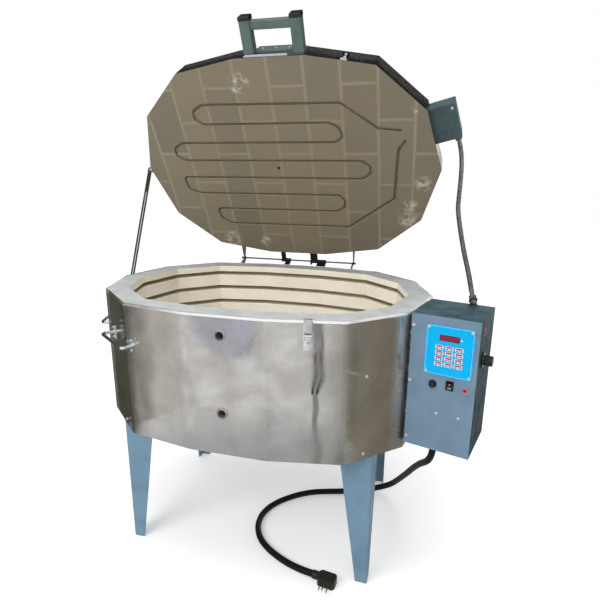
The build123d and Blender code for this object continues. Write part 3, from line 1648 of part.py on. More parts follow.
def write_nodes():
    os.makedirs("parts", exist_ok=True)
    nodes = make_nodes()
    shift = base_shift(nodes)
    print("shift", shift)
    for name, pieces in nodes.items():
        solids = [solid for piece in pieces for solid in piece.solids()]
        moved = [Pos(shift[0], shift[1], 0) * solid for solid in solids]
        export_step(Compound(children=moved), f"parts/{name}.step")


if __name__ == "__main__":
    write_nodes()
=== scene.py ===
# %% [markdown]
# # An oval glass kiln
# A glass kiln is a shallow oven of soft firebrick in a bright steel jacket, on a folded steel stand, with a
# hinged brick lid and a box of controls at its side. The solids come from the CAD model with every size
# right, so this lesson adds what the solids lack: finishes, wound wire, print, a supple cord and light. All
# lengths are in metres, in the same frame as the CAD model.

# %% Load the frame
import math

import bmesh
import bpy
from mathutils import Matrix, Vector
from mathutils.bvhtree import BVHTree


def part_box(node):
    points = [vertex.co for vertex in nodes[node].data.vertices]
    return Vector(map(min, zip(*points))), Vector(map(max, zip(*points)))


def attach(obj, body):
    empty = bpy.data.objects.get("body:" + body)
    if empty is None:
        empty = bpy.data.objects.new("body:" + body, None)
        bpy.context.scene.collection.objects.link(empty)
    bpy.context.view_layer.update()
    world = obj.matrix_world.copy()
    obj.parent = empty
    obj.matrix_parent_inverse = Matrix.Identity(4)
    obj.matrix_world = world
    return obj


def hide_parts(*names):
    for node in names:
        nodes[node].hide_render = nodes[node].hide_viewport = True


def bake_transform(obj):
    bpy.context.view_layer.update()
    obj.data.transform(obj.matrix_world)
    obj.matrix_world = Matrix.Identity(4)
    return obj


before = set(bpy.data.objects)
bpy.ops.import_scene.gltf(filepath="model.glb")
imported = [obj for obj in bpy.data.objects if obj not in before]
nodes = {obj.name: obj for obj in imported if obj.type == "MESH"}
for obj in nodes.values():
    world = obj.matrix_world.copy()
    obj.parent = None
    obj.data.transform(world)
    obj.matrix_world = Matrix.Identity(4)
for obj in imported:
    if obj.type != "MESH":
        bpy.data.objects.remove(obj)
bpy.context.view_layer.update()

# %% [markdown]
# ## Small tools
# Every finish below is a tree of nodes, so one small function that adds a node, sets it and fills its
# sockets keeps the trees readable. A socket takes a number, or whatever should feed it. Colours are written
# as the hex values of a paint chart, and one function turns them into the linear light of the renderer.

# %% Colour and node helpers
def colour(text):
    """Linear RGBA from an sRGB hex value."""
    parts = [int(text[k:k + 2], 16) / 255 for k in (1, 3, 5)]
    linear = [v / 12.92 if v <= 0.04045 else ((v + 0.055) / 1.055) ** 2.4 for v in parts]
    return (*linear, 1.0)


def fill(node, sockets):
    """Gives each socket a value, or a link from a socket or a node's first output."""
    for key, value in sockets.items():
        if isinstance(value, bpy.types.Node):
            value = value.outputs[0]
        if isinstance(value, bpy.types.NodeSocket):
            node.id_data.links.new(value, node.inputs[key])
        else:
            node.inputs[key].default_value = value


def add(tree, kind, sockets=None, **settings):
    """Adds a node with its settings and fills its sockets."""
    node = tree.nodes.new(kind)
    for key, value in settings.items():
        setattr(node, key, value)
    fill(node, sockets or {})
    return node


def emptied(holder):
    """The node tree of a material or a world, with nothing in it yet."""
    holder.use_nodes = True
    holder.node_tree.nodes.clear()
    return holder.node_tree


def new_finish(name, **values):
    """A material with one shader, whose constants sit on the shader's own sockets."""
    material = bpy.data.materials.new(name)
    tree = emptied(material)
    named = {key.replace("_", " "): value for key, value in values.items()}
    shader = add(tree, "ShaderNodeBsdfPrincipled", named)
    add(tree, "ShaderNodeOutputMaterial", {"Surface": shader})
    return material, tree, shader


def place(tree):
    """Object coordinates, which stay with the piece when it moves."""
    return add(tree, "ShaderNodeTexCoord").outputs["Object"]


def cloud(tree, vector, size_mm, low=0.35, high=0.65, detail=3.0):
    """A soft blotch pattern from 0 to 1 whose blotches are about size_mm across."""
    noise = add(tree, "ShaderNodeTexNoise", {"Vector": vector, "Scale": 1000 / size_mm, "Detail": detail})
    return add(tree, "ShaderNodeMapRange", {"Value": noise, "From Min": low, "From Max": high}).outputs[0]


def near_any(tree, spot, centres, radius):
    """1 within a radius of any of the points, 0 elsewhere."""
    total = 0.0
    for centre in centres:
        away = add(tree, "ShaderNodeVectorMath", {0: spot, 1: centre}, operation="DISTANCE").outputs[1]
        inside = add(tree, "ShaderNodeMath", {0: away, 1: radius}, operation="LESS_THAN")
        total = add(tree, "ShaderNodeMath", {0: total, 1: inside}, operation="ADD")
    return total


def fade_near(tree, spot, centre, outer, inner, most=1.0):
    """0 beyond the outer distance from a point, rising to most at the inner distance."""
    away = add(tree, "ShaderNodeVectorMath", {0: spot, 1: centre}, operation="DISTANCE").outputs[1]
    return add(tree, "ShaderNodeMapRange",
               {"Value": away, "From Min": outer, "From Max": inner, "To Max": most})


def blend_colours(tree, factor, first, second, share=1.0):
    """Mixes two colours, each a hex value or a socket, by a share of a factor."""
    if share < 1.0:
        factor = add(tree, "ShaderNodeMath", {0: factor, 1: share}, operation="MULTIPLY")
    pair = [colour(tint) if isinstance(tint, str) else tint for tint in (first, second)]
    mix = add(tree, "ShaderNodeMix", {0: factor, 6: pair[0], 7: pair[1]}, data_type="RGBA")
    return mix.outputs[2]


def overlay(socket, factor, shade):
    """Blends a shade into the colour that already feeds a socket."""
    tree = socket.id_data
    tree.links.new(blend_colours(tree, factor, socket.links[0].from_socket, shade), socket)


def roughen(shader, pattern, low, high):
    """Spreads the shader's roughness from low to high by a pattern."""
    spread = add(shader.id_data, "ShaderNodeMapRange", {"Value": pattern, "To Min": low, "To Max": high})
    fill(shader, {"Roughness": spread})


def raise_surface(shader, height, depth_mm, strength=1.0, under=None):
    """Bumps the surface by a height socket; depth is the height of a full step."""
    bump = add(shader.id_data, "ShaderNodeBump",
               {"Height": height, "Distance": depth_mm / 1000, "Strength": strength})
    if under is not None:
        fill(bump, {"Normal": under})
    fill(shader, {"Normal": bump})


def coat(piece, material):
    """Puts one finish on every material slot of a piece."""
    if not piece.material_slots:
        piece.data.materials.append(material)
    for holder in piece.material_slots:
        holder.material = material


def new_object(name, data):
    """An object round some data, linked into the scene."""
    piece = bpy.data.objects.new(name, data)
    bpy.context.scene.collection.objects.link(piece)
    return piece


print("helpers ready")

# %% [markdown]
# ## Camera
# The photograph was taken standing in front of the right end, looking a little down and to the left. The
# camera's place comes from fitting a pinhole to the corners of the fourteen-sided body. Its axes are
# written out one by one, because that keeps the small roll of a hand-held camera exact.

# %% Set up the camera
camera_place = Vector((0.44216, -1.57064, 1.2288))
camera_pitch = math.radians(14.715)
camera_yaw = math.radians(-14.705)
camera_roll = math.radians(0.454)

ahead = Vector((math.sin(camera_yaw) * math.cos(camera_pitch),
                math.cos(camera_yaw) * math.cos(camera_pitch),
                -math.sin(camera_pitch)))
level = Vector((math.cos(camera_yaw), -math.sin(camera_yaw), 0))
below = ahead.cross(level)
right = level * math.cos(camera_roll) - below * math.sin(camera_roll)
down = level * math.sin(camera_roll) + below * math.cos(camera_roll)

camera_data = bpy.data.cameras.new("photo_camera")
camera_data.lens = 29.63
camera_data.sensor_width = 36
camera_data.clip_end = 30
camera = new_object("photo_camera", camera_data)
turn = Matrix((right, -down, -ahead)).transposed().to_4x4()
camera.matrix_world = Matrix.Translation(camera_place) @ turn
bpy.context.scene.camera = camera
bpy.context.scene.view_settings.view_transform = "Standard"
print("camera at", [round(v, 3) for v in camera_place])

# %% [markdown]
# ## Supply cord
# The cord is a heavy three-core rubber lead. It leaves a gland under the control box, falls behind the
# right front leg, runs in one wide loop under the kiln and comes out at the front with its plug on the
# floor. A NURBS curve suits it: rubber over stranded copper never kinks, and neither does the curve.

# %% Draw the cord
cord_diameter = 0.021
cord_points = (
    (497.4, -163.5, 440), (497.4, -163.5, 413), (494.9, -157.3, 386), (489.9, -146.3, 362),
    (481.9, -130.3, 340), (465.9, -92.3, 308), (445.9, -38.3, 256), (421.9, 19.7, 189),
    (393.9, 80.7, 120), (369.9, 120.7, 70), (339.9, 137.7, 41), (300.9, 143.7, 20), (256.9, 137.7, 11),
    (215.9, 118.7, 11), (175.9, 101.7, 11), (122.9, 86.7, 11), (73.9, 69.7, 11), (29.9, 44.7, 11),
    (-8.1, 12.7, 11), (-43.1, -24.3, 11), (-69.1, -68.3, 11), (-80.1, -117.3, 11), (-75.1, -164.3, 11),
    (-57.1, -206.3, 11), (-32.1, -238.3, 11), (-2.1, -263.3, 11), (33.9, -285.3, 11), (73.9, -304.3, 11),
    (111.9, -317.3, 12), (141.1, -325.6, 14), (165.9, -329.3, 14),
)

cord_curve = bpy.data.curves.new("supply_cord", "CURVE")
cord_curve.dimensions = "3D"
spline = cord_curve.splines.new("NURBS")
spline.points.add(len(cord_points) - 1)
for point, (x, y, z) in zip(spline.points, cord_points):
    point.co = (x / 1000, y / 1000, z / 1000, 1)
spline.order_u = 3
spline.use_endpoint_u = True
spline.resolution_u = 6
cord_curve.bevel_depth = cord_diameter / 2
cord_curve.bevel_resolution = 5
cord_curve.use_fill_caps = True
supply_cord = new_object("supply_cord", cord_curve)
print("cord control points:", len(cord_points))

# %% [markdown]
# The rubber sheath is a dull black with a soft sheen along its length, and it picks up dust. Fine noise
# breaks the highlight, and the dust is a slightly paler blotch with a higher roughness.

# %% Finish the cord
rubber, tree, shader = new_finish("rubber sheath, extruded", IOR=1.52, Specular_IOR_Level=0.22)
spot = place(tree)
dust = cloud(tree, spot, 35)
fill(shader, {"Base Color": blend_colours(tree, dust, "#08080a", "#161619")})
roughen(shader, dust, 0.38, 0.6)
# The real grain is under 0.2 mm; it is drawn at 2 mm so that it shows at all
raise_surface(shader, cloud(tree, spot, 2, 0.2, 0.8), 0.08, 0.6)
coat(supply_cord, rubber)
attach(supply_cord, "root")
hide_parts("power_cord")

# %% [markdown]
# ## Painted steel
# The stand, the boxes and the lid handle are folded sheet steel with a baked enamel or powder coat in grey
# blues. Such a coat has a faint orange peel with waves of 2 to 4 mm, and wears a little darker where hands
# and brick dust reach it. One recipe makes them all. Each finish is noted beside the CAD nodes that wear
# it, and goes onto them near the end.

# %% Mix the paints
def steel_paint(name, main, worn, roughness, peel_mm, patch_mm, gloss):
    material, tree, shader = new_finish(name, IOR=1.5, Specular_IOR_Level=gloss)
    spot = place(tree)
    patch = cloud(tree, spot, patch_mm, 0.4, 0.75, 4)
    base = blend_colours(tree, patch, main, worn)
    speck = cloud(tree, spot, 5, 0.58, 0.72, 2)
    fill(shader, {"Base Color": blend_colours(tree, speck, base, worn, 0.35)})
    roughen(shader, patch, roughness - 0.07, roughness + 0.12)
    raise_surface(shader, cloud(tree, spot, peel_mm, 0.25, 0.75, 1), 0.12, 0.35)
    return material


finishes = {}


def assign(material, *names):
    """Notes which CAD nodes wear a finish."""
    for name in names:
        finishes[name] = material


enamel = "#6d879b"
plate_paint = steel_paint("baked enamel, dark green, handle plate", "#3f5350", "#4b5970", 0.45, 3, 30, 0.3)
strap_paint = steel_paint("black enamel, hinge straps", "#121214", "#1f1f22", 0.45, 3, 25, 0.3)
assign(plate_paint, "handle_plate")
assign(strap_paint, "body_hinge_straps", "lid_hinge_straps")
for node, *recipe in (
        ("legs", "powder coat, grey blue, on the stand", "#6f90a6", "#5f8096", 0.42, 3, 70, 0.5),
        ("front_panel", "baked enamel, grey blue, front panel", enamel, "#617a8d", 0.45, 3, 70, 0.4),
        # The box shell is the panel's grey blue enamel painted darker: painted shade on its top and sides.
        ("control_box", "baked enamel, slate, box shell", "#38505a", "#2d4149", 0.55, 3, 40, 0.12),
        ("junction_box", "baked enamel, slate, junction box", "#45585b", "#384849", 0.5, 3, 40, 0.3),
        ("handle_frame", "baked enamel, grey green, handle tube", "#596b64", "#4d5f59", 0.45, 3, 45, 0.35),
        ("stay_bar", "drab lacquer on a flat bar", "#4b4e3a", "#363829", 0.5, 4, 30, 0.25)):
    assign(steel_paint(*recipe), node)
print("paints on", len(finishes), "nodes")

# %% [markdown]
# ## Bare and plated metal
# The screws are zinc plated, the carrying handles and the latch are bright chrome, the pan is plain sheet
# and the plug's blades are brass. A plated surface is a clean metal whose roughness alone sets it apart, so
# each gets a tint, a roughness range and a fine grain, and the default IOR of a metal stays.

# %% Plate the metals
def blotchy(name, main, other, rough, patch, grain, **values):
    """A finish with a second tint, and more roughness if asked, in blotches, and a fine grain."""
    material, tree, shader = new_finish(name, **values)
    spot = place(tree)
    blotch = cloud(tree, spot, *patch)
    fill(shader, {"Base Color": blend_colours(tree, blotch, main, other)})
    if rough is not None:
        roughen(shader, blotch, *rough)
    grain_mm, depth_mm, strength = grain
    raise_surface(shader, cloud(tree, spot, grain_mm, 0.2, 0.8, 1), depth_mm, strength)
    return material


def metal(name, bright, dull, smooth, matt, blotch_mm):
    return blotchy(name, bright, dull, (smooth, matt), (blotch_mm,), (1.5, 0.03, 0.5), Metallic=1.0)


zinc = metal("zinc plated steel, screws", "#f4f4f2", "#dededc", 0.3, 0.45, 6)
hose_steel = metal("galvanised strip, flexible conduit", "#8b8e86", "#60635b", 0.35, 0.5, 9)
assign(zinc, "leg_bolts", "body_screws", "lid_screws", "stay_stud")
assign(hose_steel, "conduit_fitting_lower", "conduit_fitting_upper")
assign(metal("bright chrome plate", "#e9ebee", "#cfd2d6", 0.05, 0.16, 20),
       "grab_handles", "latch_base", "latch_lever", "latch_claw", "latch_keeper")
assign(metal("cold rolled sheet, base pan", "#a3a29c", "#8b8a84", 0.35, 0.5, 50), "base_pan")
assign(metal("plain drawn rod", "#8e8d88", "#5f5d58", 0.25, 0.4, 15), "hinge_rod")
assign(metal("stamped brass, plug blades", "#d9bf85", "#c4a765", 0.2, 0.32, 8), "plug_blades")
print("metals done, nodes finished so far:", len(finishes))

# %% [markdown]
# ## Mirror stainless jacket
# The jacket is thin stainless sheet with a mirror finish, wrapped round the bricks and screwed tight. It
# shows the yard in which it stands, blurred by finger marks and by slight buckles between the bends. So the
# finish itself stays a nearly clean metal: wide waves bend the reflection, cloudy smudges dull it, and a
# rounding of the upright bends lets a dark or light side flow round each corner. The hem that is turned in
# over the bricks is rolled, and its tint is pure white: a painted highlight along the rim.

# %% Finish the jacket and the lid band
bend_radius_mm = 75
facet_share = 0.7
jacket_hem = 0.8505
above_all = 9.0


def mirror_steel(name, bright, smudged, warm, cool, wave_depth, hem_height, keep):
    """Nearly clean metal with rounded bends; keep scales the x, y and z of its rounded direction."""
    material, tree, shader = new_finish(name, Metallic=1.0)
    spot = place(tree)
    smear = cloud(tree, spot, 90, 0.42, 0.72, 6)
    scuff = cloud(tree, spot, 28, 0.55, 0.8, 3)
    both = add(tree, "ShaderNodeMath", {0: smear, 1: scuff}, operation="MULTIPLY")
    rough = add(tree, "ShaderNodeMapRange", {"Value": smear, "To Min": 0.05, "To Max": 0.13})
    dull = add(tree, "ShaderNodeMath", {0: both, 1: 0.1, 2: rough}, operation="MULTIPLY_ADD")
    height = add(tree, "ShaderNodeSeparateXYZ", {0: spot}).outputs[2]
    hem_with_painted_highlight = add(tree, "ShaderNodeMath", {0: height, 1: hem_height}, operation="GREATER_THAN")
    satin = add(tree, "ShaderNodeMath", {0: hem_with_painted_highlight, 1: 0.12, 2: dull}, operation="MULTIPLY_ADD")
    warmth = blend_colours(tree, cloud(tree, spot, 45, 0.4, 0.62, 5), warm, cool)
    tint = blend_colours(tree, smear, bright, smudged)
    tint = blend_colours(tree, scuff, tint, warmth)
    # The hem's tint is pure white: a painted highlight along the rim of the jacket.
    fill(shader, {"Base Color": blend_colours(tree, hem_with_painted_highlight, tint, "#ffffff"), "Roughness": satin})
    rounded = add(tree, "ShaderNodeBevel", {"Radius": bend_radius_mm / 1000}, samples=8)
    # A share of the flat facet's own direction eases the rounding in from both sides of a bend
    flat = add(tree, "ShaderNodeNewGeometry").outputs["True Normal"]
    eased = add(tree, "ShaderNodeVectorMath", {0: flat, 1: [facet_share] * 3, 2: rounded},
                operation="MULTIPLY_ADD")
    # The jacket bends about upright lines alone, so its rounding loses its upward part below the hem
    kept = add(tree, "ShaderNodeVectorMath", {0: eased, 1: keep}, operation="MULTIPLY")
    lifted = add(tree, "ShaderNodeCombineXYZ", {2: hem_with_painted_highlight})
    rolled = add(tree, "ShaderNodeVectorMath", {0: kept, 1: lifted}, operation="ADD")
    even = add(tree, "ShaderNodeVectorMath", {0: rolled}, operation="NORMALIZE")
    # Buckles of a thin sheet between its screws: about 150 mm from crest to crest
    raise_surface(shader, cloud(tree, spot, 150, 0.2, 0.8, 1), wave_depth, 1.0, even)
    return material


assign(mirror_steel("mirror finish stainless sheet, jacket", "#d2d1cf", "#c0bebb", "#dad2cb", "#c7ccd3",
                    1.6, jacket_hem, (1, 1, 0)), "jacket")
# The lid band's tint is much darker than the jacket's: a painted dark reflection, so it mirrors little of
# the white surround.
assign(mirror_steel("mirror finish stainless sheet, lid band", "#858380", "#757370", "#8b8580", "#7d8185",
                    0.4, above_all, (1, 1, 1)), "lid_band")
print("jacket bends rounded by", bend_radius_mm, "mm")

# %% [markdown]
# ## Firebrick
# Insulating firebrick is a pale, crumbly foam of fired clay. The chamber is cream, its top rim is greyer
# from dust and handling, and the element grooves are darker, browned by heat and with painted shade in the
# recess. The real pores are half a millimetre wide and are drawn at 3 mm, because smaller ones vanish at
# this distance. The grooves repeat every half course, so a remainder of the height finds them.

# %% Fire the chamber bricks
groove_pitch = 0.05715
groove_first = 0.5426
groove_half = 0.0071
rim_height = 0.8565
# Whole pitches below the first groove keep the remainder above 0; the half centres each groove in it
pitches_below = 10.5

brick, tree, shader = new_finish("insulating firebrick, chamber", Roughness=0.93, IOR=1.45)
spot = place(tree)
height = add(tree, "ShaderNodeSeparateXYZ", {0: spot}).outputs[2]
pores = cloud(tree, spot, 3, 0.3, 0.7, 4)
body = blend_colours(tree, cloud(tree, spot, 120, 0.35, 0.7, 3), "#f6f2e8", "#eee8d9")
body = blend_colours(tree, pores, body, "#c9bda2", 0.25)
start = add(tree, "ShaderNodeMath", {0: height, 1: groove_first - groove_pitch * pitches_below},
            operation="SUBTRACT")
cycle = add(tree, "ShaderNodeMath", {0: start, 1: groove_pitch}, operation="MODULO")
groove_browning_and_shade = add(tree, "ShaderNodeMath", {0: cycle, 1: groove_pitch / 2, 2: groove_half}, operation="COMPARE")
# The grooves are darker: browning by heat, with painted shade in the recess.
body = blend_colours(tree, groove_browning_and_shade, body, "#d6caae")
on_top = add(tree, "ShaderNodeMath", {0: height, 1: rim_height}, operation="GREATER_THAN")
rim_tone = blend_colours(tree, cloud(tree, spot, 60, 0.35, 0.7, 5), "#b3b6b6", "#a1a5a4")
fill(shader, {"Base Color": blend_colours(tree, on_top, body, rim_tone)})
raise_surface(shader, pores, 0.5, 0.5)
assign(brick, "wall_bricks", "floor_slab")
print("grooves every", groove_pitch * 1000, "mm")

# %% [markdown]
# ## Fired face of the lid
# The underside of the lid faces the heat, so it has turned a dull taupe, with paler cement in the joints
# between its bricks. The bricks lie in columns 114.3 mm wide, staggered like a wall. The pattern has to lie
# in the lid's own plane, so one Mapping node turns the opened lid back to the closed position, and a second
# lays the brick pattern on it. Chalky scuffs sit where the real lid was bumped, and one small spot is
# coloured dark. The grooves are painted paler than the face, as painted light against the shade in them.

# %% Fire the lid
lid_angle = math.radians(61.3)
hinge_point = Vector((0, 0.37924, 0.8679))
close_turn = Matrix.Rotation(lid_angle, 3, "X")
close_shift = hinge_point - close_turn @ hinge_point
lid_face = 0.8585
lid_outside = 0.885
lid_groove_step = 0.0004
brick_long, brick_wide = 0.2286, 0.1143
dark_spot_place, dark_spot_radius = (-0.0957, -0.0453, lid_face), 0.006
lid_scuffs = (
    (-0.186, -0.346, 0.036), (-0.2, -0.321, 0.012), (0.407, 0.009, 0.03), (0.366, 0.094, 0.03),
    (0.361, 0.157, 0.036), (-0.338, 0.272, 0.04), (-0.196, 0.28, 0.03), (0.369, -0.243, 0.011),
)


def when_closed(tree):
    """Object coordinates, turned with the lid back to where it is shut."""
    return add(tree, "ShaderNodeMapping", {"Vector": place(tree), "Rotation": (lid_angle, 0, 0),
                                           "Location": close_shift}).outputs[0]


lid_brick, tree, shader = new_finish("insulating firebrick, fired lid", Roughness=0.95, IOR=1.45)
closed = when_closed(tree)
laid = add(tree, "ShaderNodeMapping", {"Vector": closed, "Rotation": (0, 0, -math.pi / 2),
                                       "Location": (0.21084, 0.02676, 0)})
wobble = add(tree, "ShaderNodeTexNoise", {"Vector": closed, "Scale": 9.0, "Detail": 2.0})
shaken = add(tree, "ShaderNodeVectorMath", {0: wobble.outputs[1], 1: (0.006, 0.006, 0), 2: laid},
             operation="MULTIPLY_ADD")
wall = add(tree, "ShaderNodeTexBrick",
           {"Vector": shaken, "Scale": 1.0, "Brick Width": brick_long, "Row Height": brick_wide,
            "Mortar Size": 0.008, "Mortar Smooth": 1.0, "Color1": colour("#837b67"),
            "Color2": colour("#776f60"), "Mortar": colour("#948d7a")}, offset=0.5)
stain = cloud(tree, closed, 160, 0.35, 0.7, 4)
face = blend_colours(tree, stain, wall.outputs[0], "#847a66", 0.45)
grit = cloud(tree, place(tree), 3, 0.3, 0.7, 4)
face = blend_colours(tree, grit, face, "#5f5846", 0.22)
chalk = cloud(tree, closed, 18, 0.42, 0.62, 6)
for x, y, radius in lid_scuffs:
    inside = fade_near(tree, closed, (x, y, lid_face), radius * 1.15, radius * 0.3, 0.8)
    mark = add(tree, "ShaderNodeMath", {0: inside, 1: chalk}, operation="MULTIPLY")
    face = blend_colours(tree, mark, face, "#c9c3b4")
# One small spot of the face is coloured dark.
face = blend_colours(tree, near_any(tree, closed, [dark_spot_place], dark_spot_radius), face, "#352d22")
height = add(tree, "ShaderNodeSeparateXYZ", {0: closed}).outputs[2]
# The lid's grooves are painted paler than its face: painted light against the shade in them.
lid_groove_painted_light = add(tree, "ShaderNodeMath", {0: height, 1: lid_face + lid_groove_step},
               operation="GREATER_THAN")
face = blend_colours(tree, lid_groove_painted_light, face, "#a1967f")
outside = add(tree, "ShaderNodeMath", {0: height, 1: lid_outside}, operation="GREATER_THAN")
cool_side = blend_colours(tree, wall.outputs[1], "#cfc6ae", "#b6ab91")
fill(shader, {"Base Color": blend_colours(tree, outside, face, cool_side)})
raise_surface(shader, grit, 0.5, 0.5)
assign(lid_brick, "lid_slab")
print("lid turned back by", round(math.degrees(lid_angle), 1), "degrees for its pattern")

# %% [markdown]
# The lower side of the lip under the handle plate is coloured a pale blue white on its left part. It lies
# flat when the lid is closed, so the same turned coordinates find its lower side.

# %% Colour the lip of the handle plate pale
lip_top = 0.8645
lip_right = -0.0145
tree = plate_paint.node_tree
parts = add(tree, "ShaderNodeSeparateXYZ", {0: when_closed(tree)}).outputs
# The mask is the lower side of the lip, left of lip_right, which is coloured pale blue white.
under = add(tree, "ShaderNodeMath", {0: parts[2], 1: lip_top}, operation="LESS_THAN")
left = add(tree, "ShaderNodeMath", {0: parts[0], 1: lip_right}, operation="LESS_THAN")
worn = add(tree, "ShaderNodeMath", {0: under, 1: left}, operation="MULTIPLY")
overlay(tree.nodes["Principled BSDF"].inputs["Base Color"], worn, "#c3c4d0")
print("lip coloured pale up to", round((lip_top - lid_face) * 1000, 1), "mm above the lid's face")

# %% [markdown]
# ## Plastics, ceramics and glassy parts
# The knob, the switch, the fuse cap and the plug are moulded black plastic, the element sleeves are white
# ceramic, the lamps and the display are red acrylic. Moulded parts have a fine satin texture and a common
# IOR of about 1.5, so the recipe changes only in tint and gloss.

# %% Mould the plastics
def moulded(name, main, shade, roughness, grain_mm=1.5, **values):
    return blotchy(name, main, shade, (roughness - 0.05, roughness + 0.08), (10, 0.4, 0.7),
                   (grain_mm, 0.05, 0.4), IOR=1.5, **values)


for names, *recipe in (
        ("rocker fuse_cap dial_knob", "phenolic moulding, black", "#121214", "#1e1e21", 0.25),
        ("handle_caps", "vinyl cap, black", "#0f0f11", "#1b1b1d", 0.4),
        ("switchgear", "switchgear housing", "#4d5052", "#3d4042", 0.45),
        ("element_bushings lid_bushings", "glazed alumina sleeve", "#e6e0d2", "#cfc7b5", 0.3),
        ("thermocouple", "mullite sheath, thermocouple", "#d8cbb2", "#bfae90", 0.5),
        ("cord_gland", "nylon gland", "#141416", "#202023", 0.35),
        ("plug_body", "rubber plug, moulded", "#0e0e10", "#1c1c1f", 0.38),
        ("circuit_board", "glass laminate, board", "#1d5a3c", "#174a32", 0.35),
        ("display_window", "red acrylic window", "#7c1232", "#5f0d28", 0.14)):
    assign(moulded(*recipe), *names.split())
assign(moulded("printed key cap, white", "#e6e9f0", "#d6dae4", 0.35), *[f"key_{k}" for k in range(1, 13)])
assign(moulded("red acrylic lens", "#a3142c", "#7d0f22", 0.12, Transmission_Weight=0.25), "pilot_lenses")
assign(moulded("screen printed plate, sky blue", "#00afea", "#00a6e0", 0.5, 2.0, Specular_IOR_Level=0.1),
       "controller_plate")
print("plastics and ceramics done, nodes finished so far:", len(finishes))

# %% [markdown]
# The peephole sleeves are steel-faced ceramic. The rim of the flange is as bright as the jacket and hardly
# shows on it, while the lip and the bore are dull grey, so a mask by distance from each bore's axis keeps
# the two apart.

# %% Face the peephole sleeves
sleeve_x = -0.08214
sleeve_heights = (0.79975, 0.57115)
bore_radius = 0.0145
face_y = -0.4182

sleeve, tree, shader = new_finish("peephole sleeve, steel face and grey bore")
spot = place(tree)
x, y, z = add(tree, "ShaderNodeSeparateXYZ", {0: spot}).outputs
flat = add(tree, "ShaderNodeCombineXYZ", {0: x, 2: z})
bore = near_any(tree, flat, [(sleeve_x, 0, height) for height in sleeve_heights], bore_radius)
front = add(tree, "ShaderNodeMath", {0: y, 1: face_y}, operation="LESS_THAN")
steel = add(tree, "ShaderNodeMath", {0: front, 1: bore}, operation="GREATER_THAN")
grey = blend_colours(tree, cloud(tree, spot, 4), "#8b8983", "#65635e")
fill(shader, {"Base Color": blend_colours(tree, steel, grey, "#c6c5c2"), "Metallic": steel})
roughen(shader, steel, 0.7, 0.2)
assign(sleeve, "peephole_bushes")
print("bores at heights", sleeve_heights)

# %% [markdown]
# The five bezels are one solid group, but both lamps sit in faded pink rings while the rest are black. A
# mask by distance from each lamp's centre colours those rings alone. Three screws on the right edge of the
# front panel were painted over in place, and the same mask turns their zinc into the panel's enamel.

# %% Tint the bezels and paint over three screws
box_origin = Vector((0.4108, -0.2479, 0.467))
across = Vector((0.961262, -0.275637, 0))
inward = Vector((0.275637, 0.961262, 0))
upward = Vector((0, 0, 1))


def box_spot(a, c, z):
    """A point of the control box, in mm across, inward and up from its lower front left corner."""
    return box_origin + (across * a + inward * c + upward * z) / 1000


lamp_ring = 0.02
screw_head = 0.009
lamp_centres = [box_spot(156.5, 0, 198.5), box_spot(182, 52, 353)]
bezel, tree, shader = new_finish("bezel moulding, black and pink", IOR=1.5, Roughness=0.32)
spot = place(tree)
mottled = blend_colours(tree, cloud(tree, spot, 6), "#c97f92", "#a85f74")
rings = near_any(tree, spot, lamp_centres, lamp_ring)
fill(shader, {"Base Color": blend_colours(tree, rings, "#131315", mottled)})
raise_surface(shader, cloud(tree, spot, 1.5, 0.2, 0.8, 1), 0.05, 0.4)
assign(bezel, "panel_bezels")

tree = zinc.node_tree
shader = tree.nodes["Principled BSDF"]
painted_screws = [box_spot(176, 0, rise) for rise in (24, 197, 358)]
painted = near_any(tree, place(tree), painted_screws, screw_head)
overlay(shader.inputs["Base Color"], painted, enamel)
fill(shader, {"Metallic": add(tree, "ShaderNodeMath", {0: 1.0, 1: painted}, operation="SUBTRACT")})
print("pink rings:", len(lamp_centres), "screws painted over:", len(painted_screws))

# %% [markdown]
# ## Flexible conduit
# A ribbed steel hose carries the lid element's wires from the control box up to the lid. One end stays with
# the box and the other swings with the lid, so it has to bend between two bodies. The rib shape of the
# solid is right, so a copy of it is made, with the corners of its triangles joined.

# %% Copy the conduit with its corners joined
hose_mesh = nodes["conduit"].data.copy()
work = bmesh.new()
work.from_mesh(hose_mesh)
bmesh.ops.remove_doubles(work, verts=work.verts, dist=1e-6)
work.to_mesh(hose_mesh)
work.free()
hose = new_object("conduit_hose", hose_mesh)
coat(hose, hose_steel)
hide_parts("conduit")
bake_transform(hose)
print("conduit corners:", len(hose_mesh.vertices))

# %% [markdown]
# ## Wound heating elements
# Each element is resistance wire wound into a long spring that lies in its groove. The winding follows a
# rule, a point that turns about the groove's line as it moves along it, so Geometry Nodes is the right
# tool: the path gets rounded corners, is cut into six points a turn, and each point is pushed out along a
# turning direction. The wire's real pitch of 3 mm is drawn as 6 mm, and its 1.6 mm wire has four sides.

# %% Build the winding tree
def new_tree(name, numbers):
    """A geometry tree that takes a carrier, some numbers and a finish, with its input sockets."""
    tree = bpy.data.node_groups.new(name, "GeometryNodeTree")
    kinds = {"Carrier": "Geometry", **dict.fromkeys(numbers, "Float"), "Finish": "Material"}
    for label, kind in kinds.items():
        tree.interface.new_socket(label, in_out="INPUT", socket_type="NodeSocket" + kind)
    tree.interface.new_socket("Result", in_out="OUTPUT", socket_type="NodeSocketGeometry")
    return tree, add(tree, "NodeGroupInput").outputs


def hand_out(tree, shape, finish):
    """Makes a shape real, coats it and hands it out of its tree."""
    real = add(tree, "GeometryNodeRealizeInstances", {"Geometry": shape})
    coated = add(tree, "GeometryNodeSetMaterial", {"Geometry": real, "Material": finish})
    add(tree, "NodeGroupOutput", {0: coated})


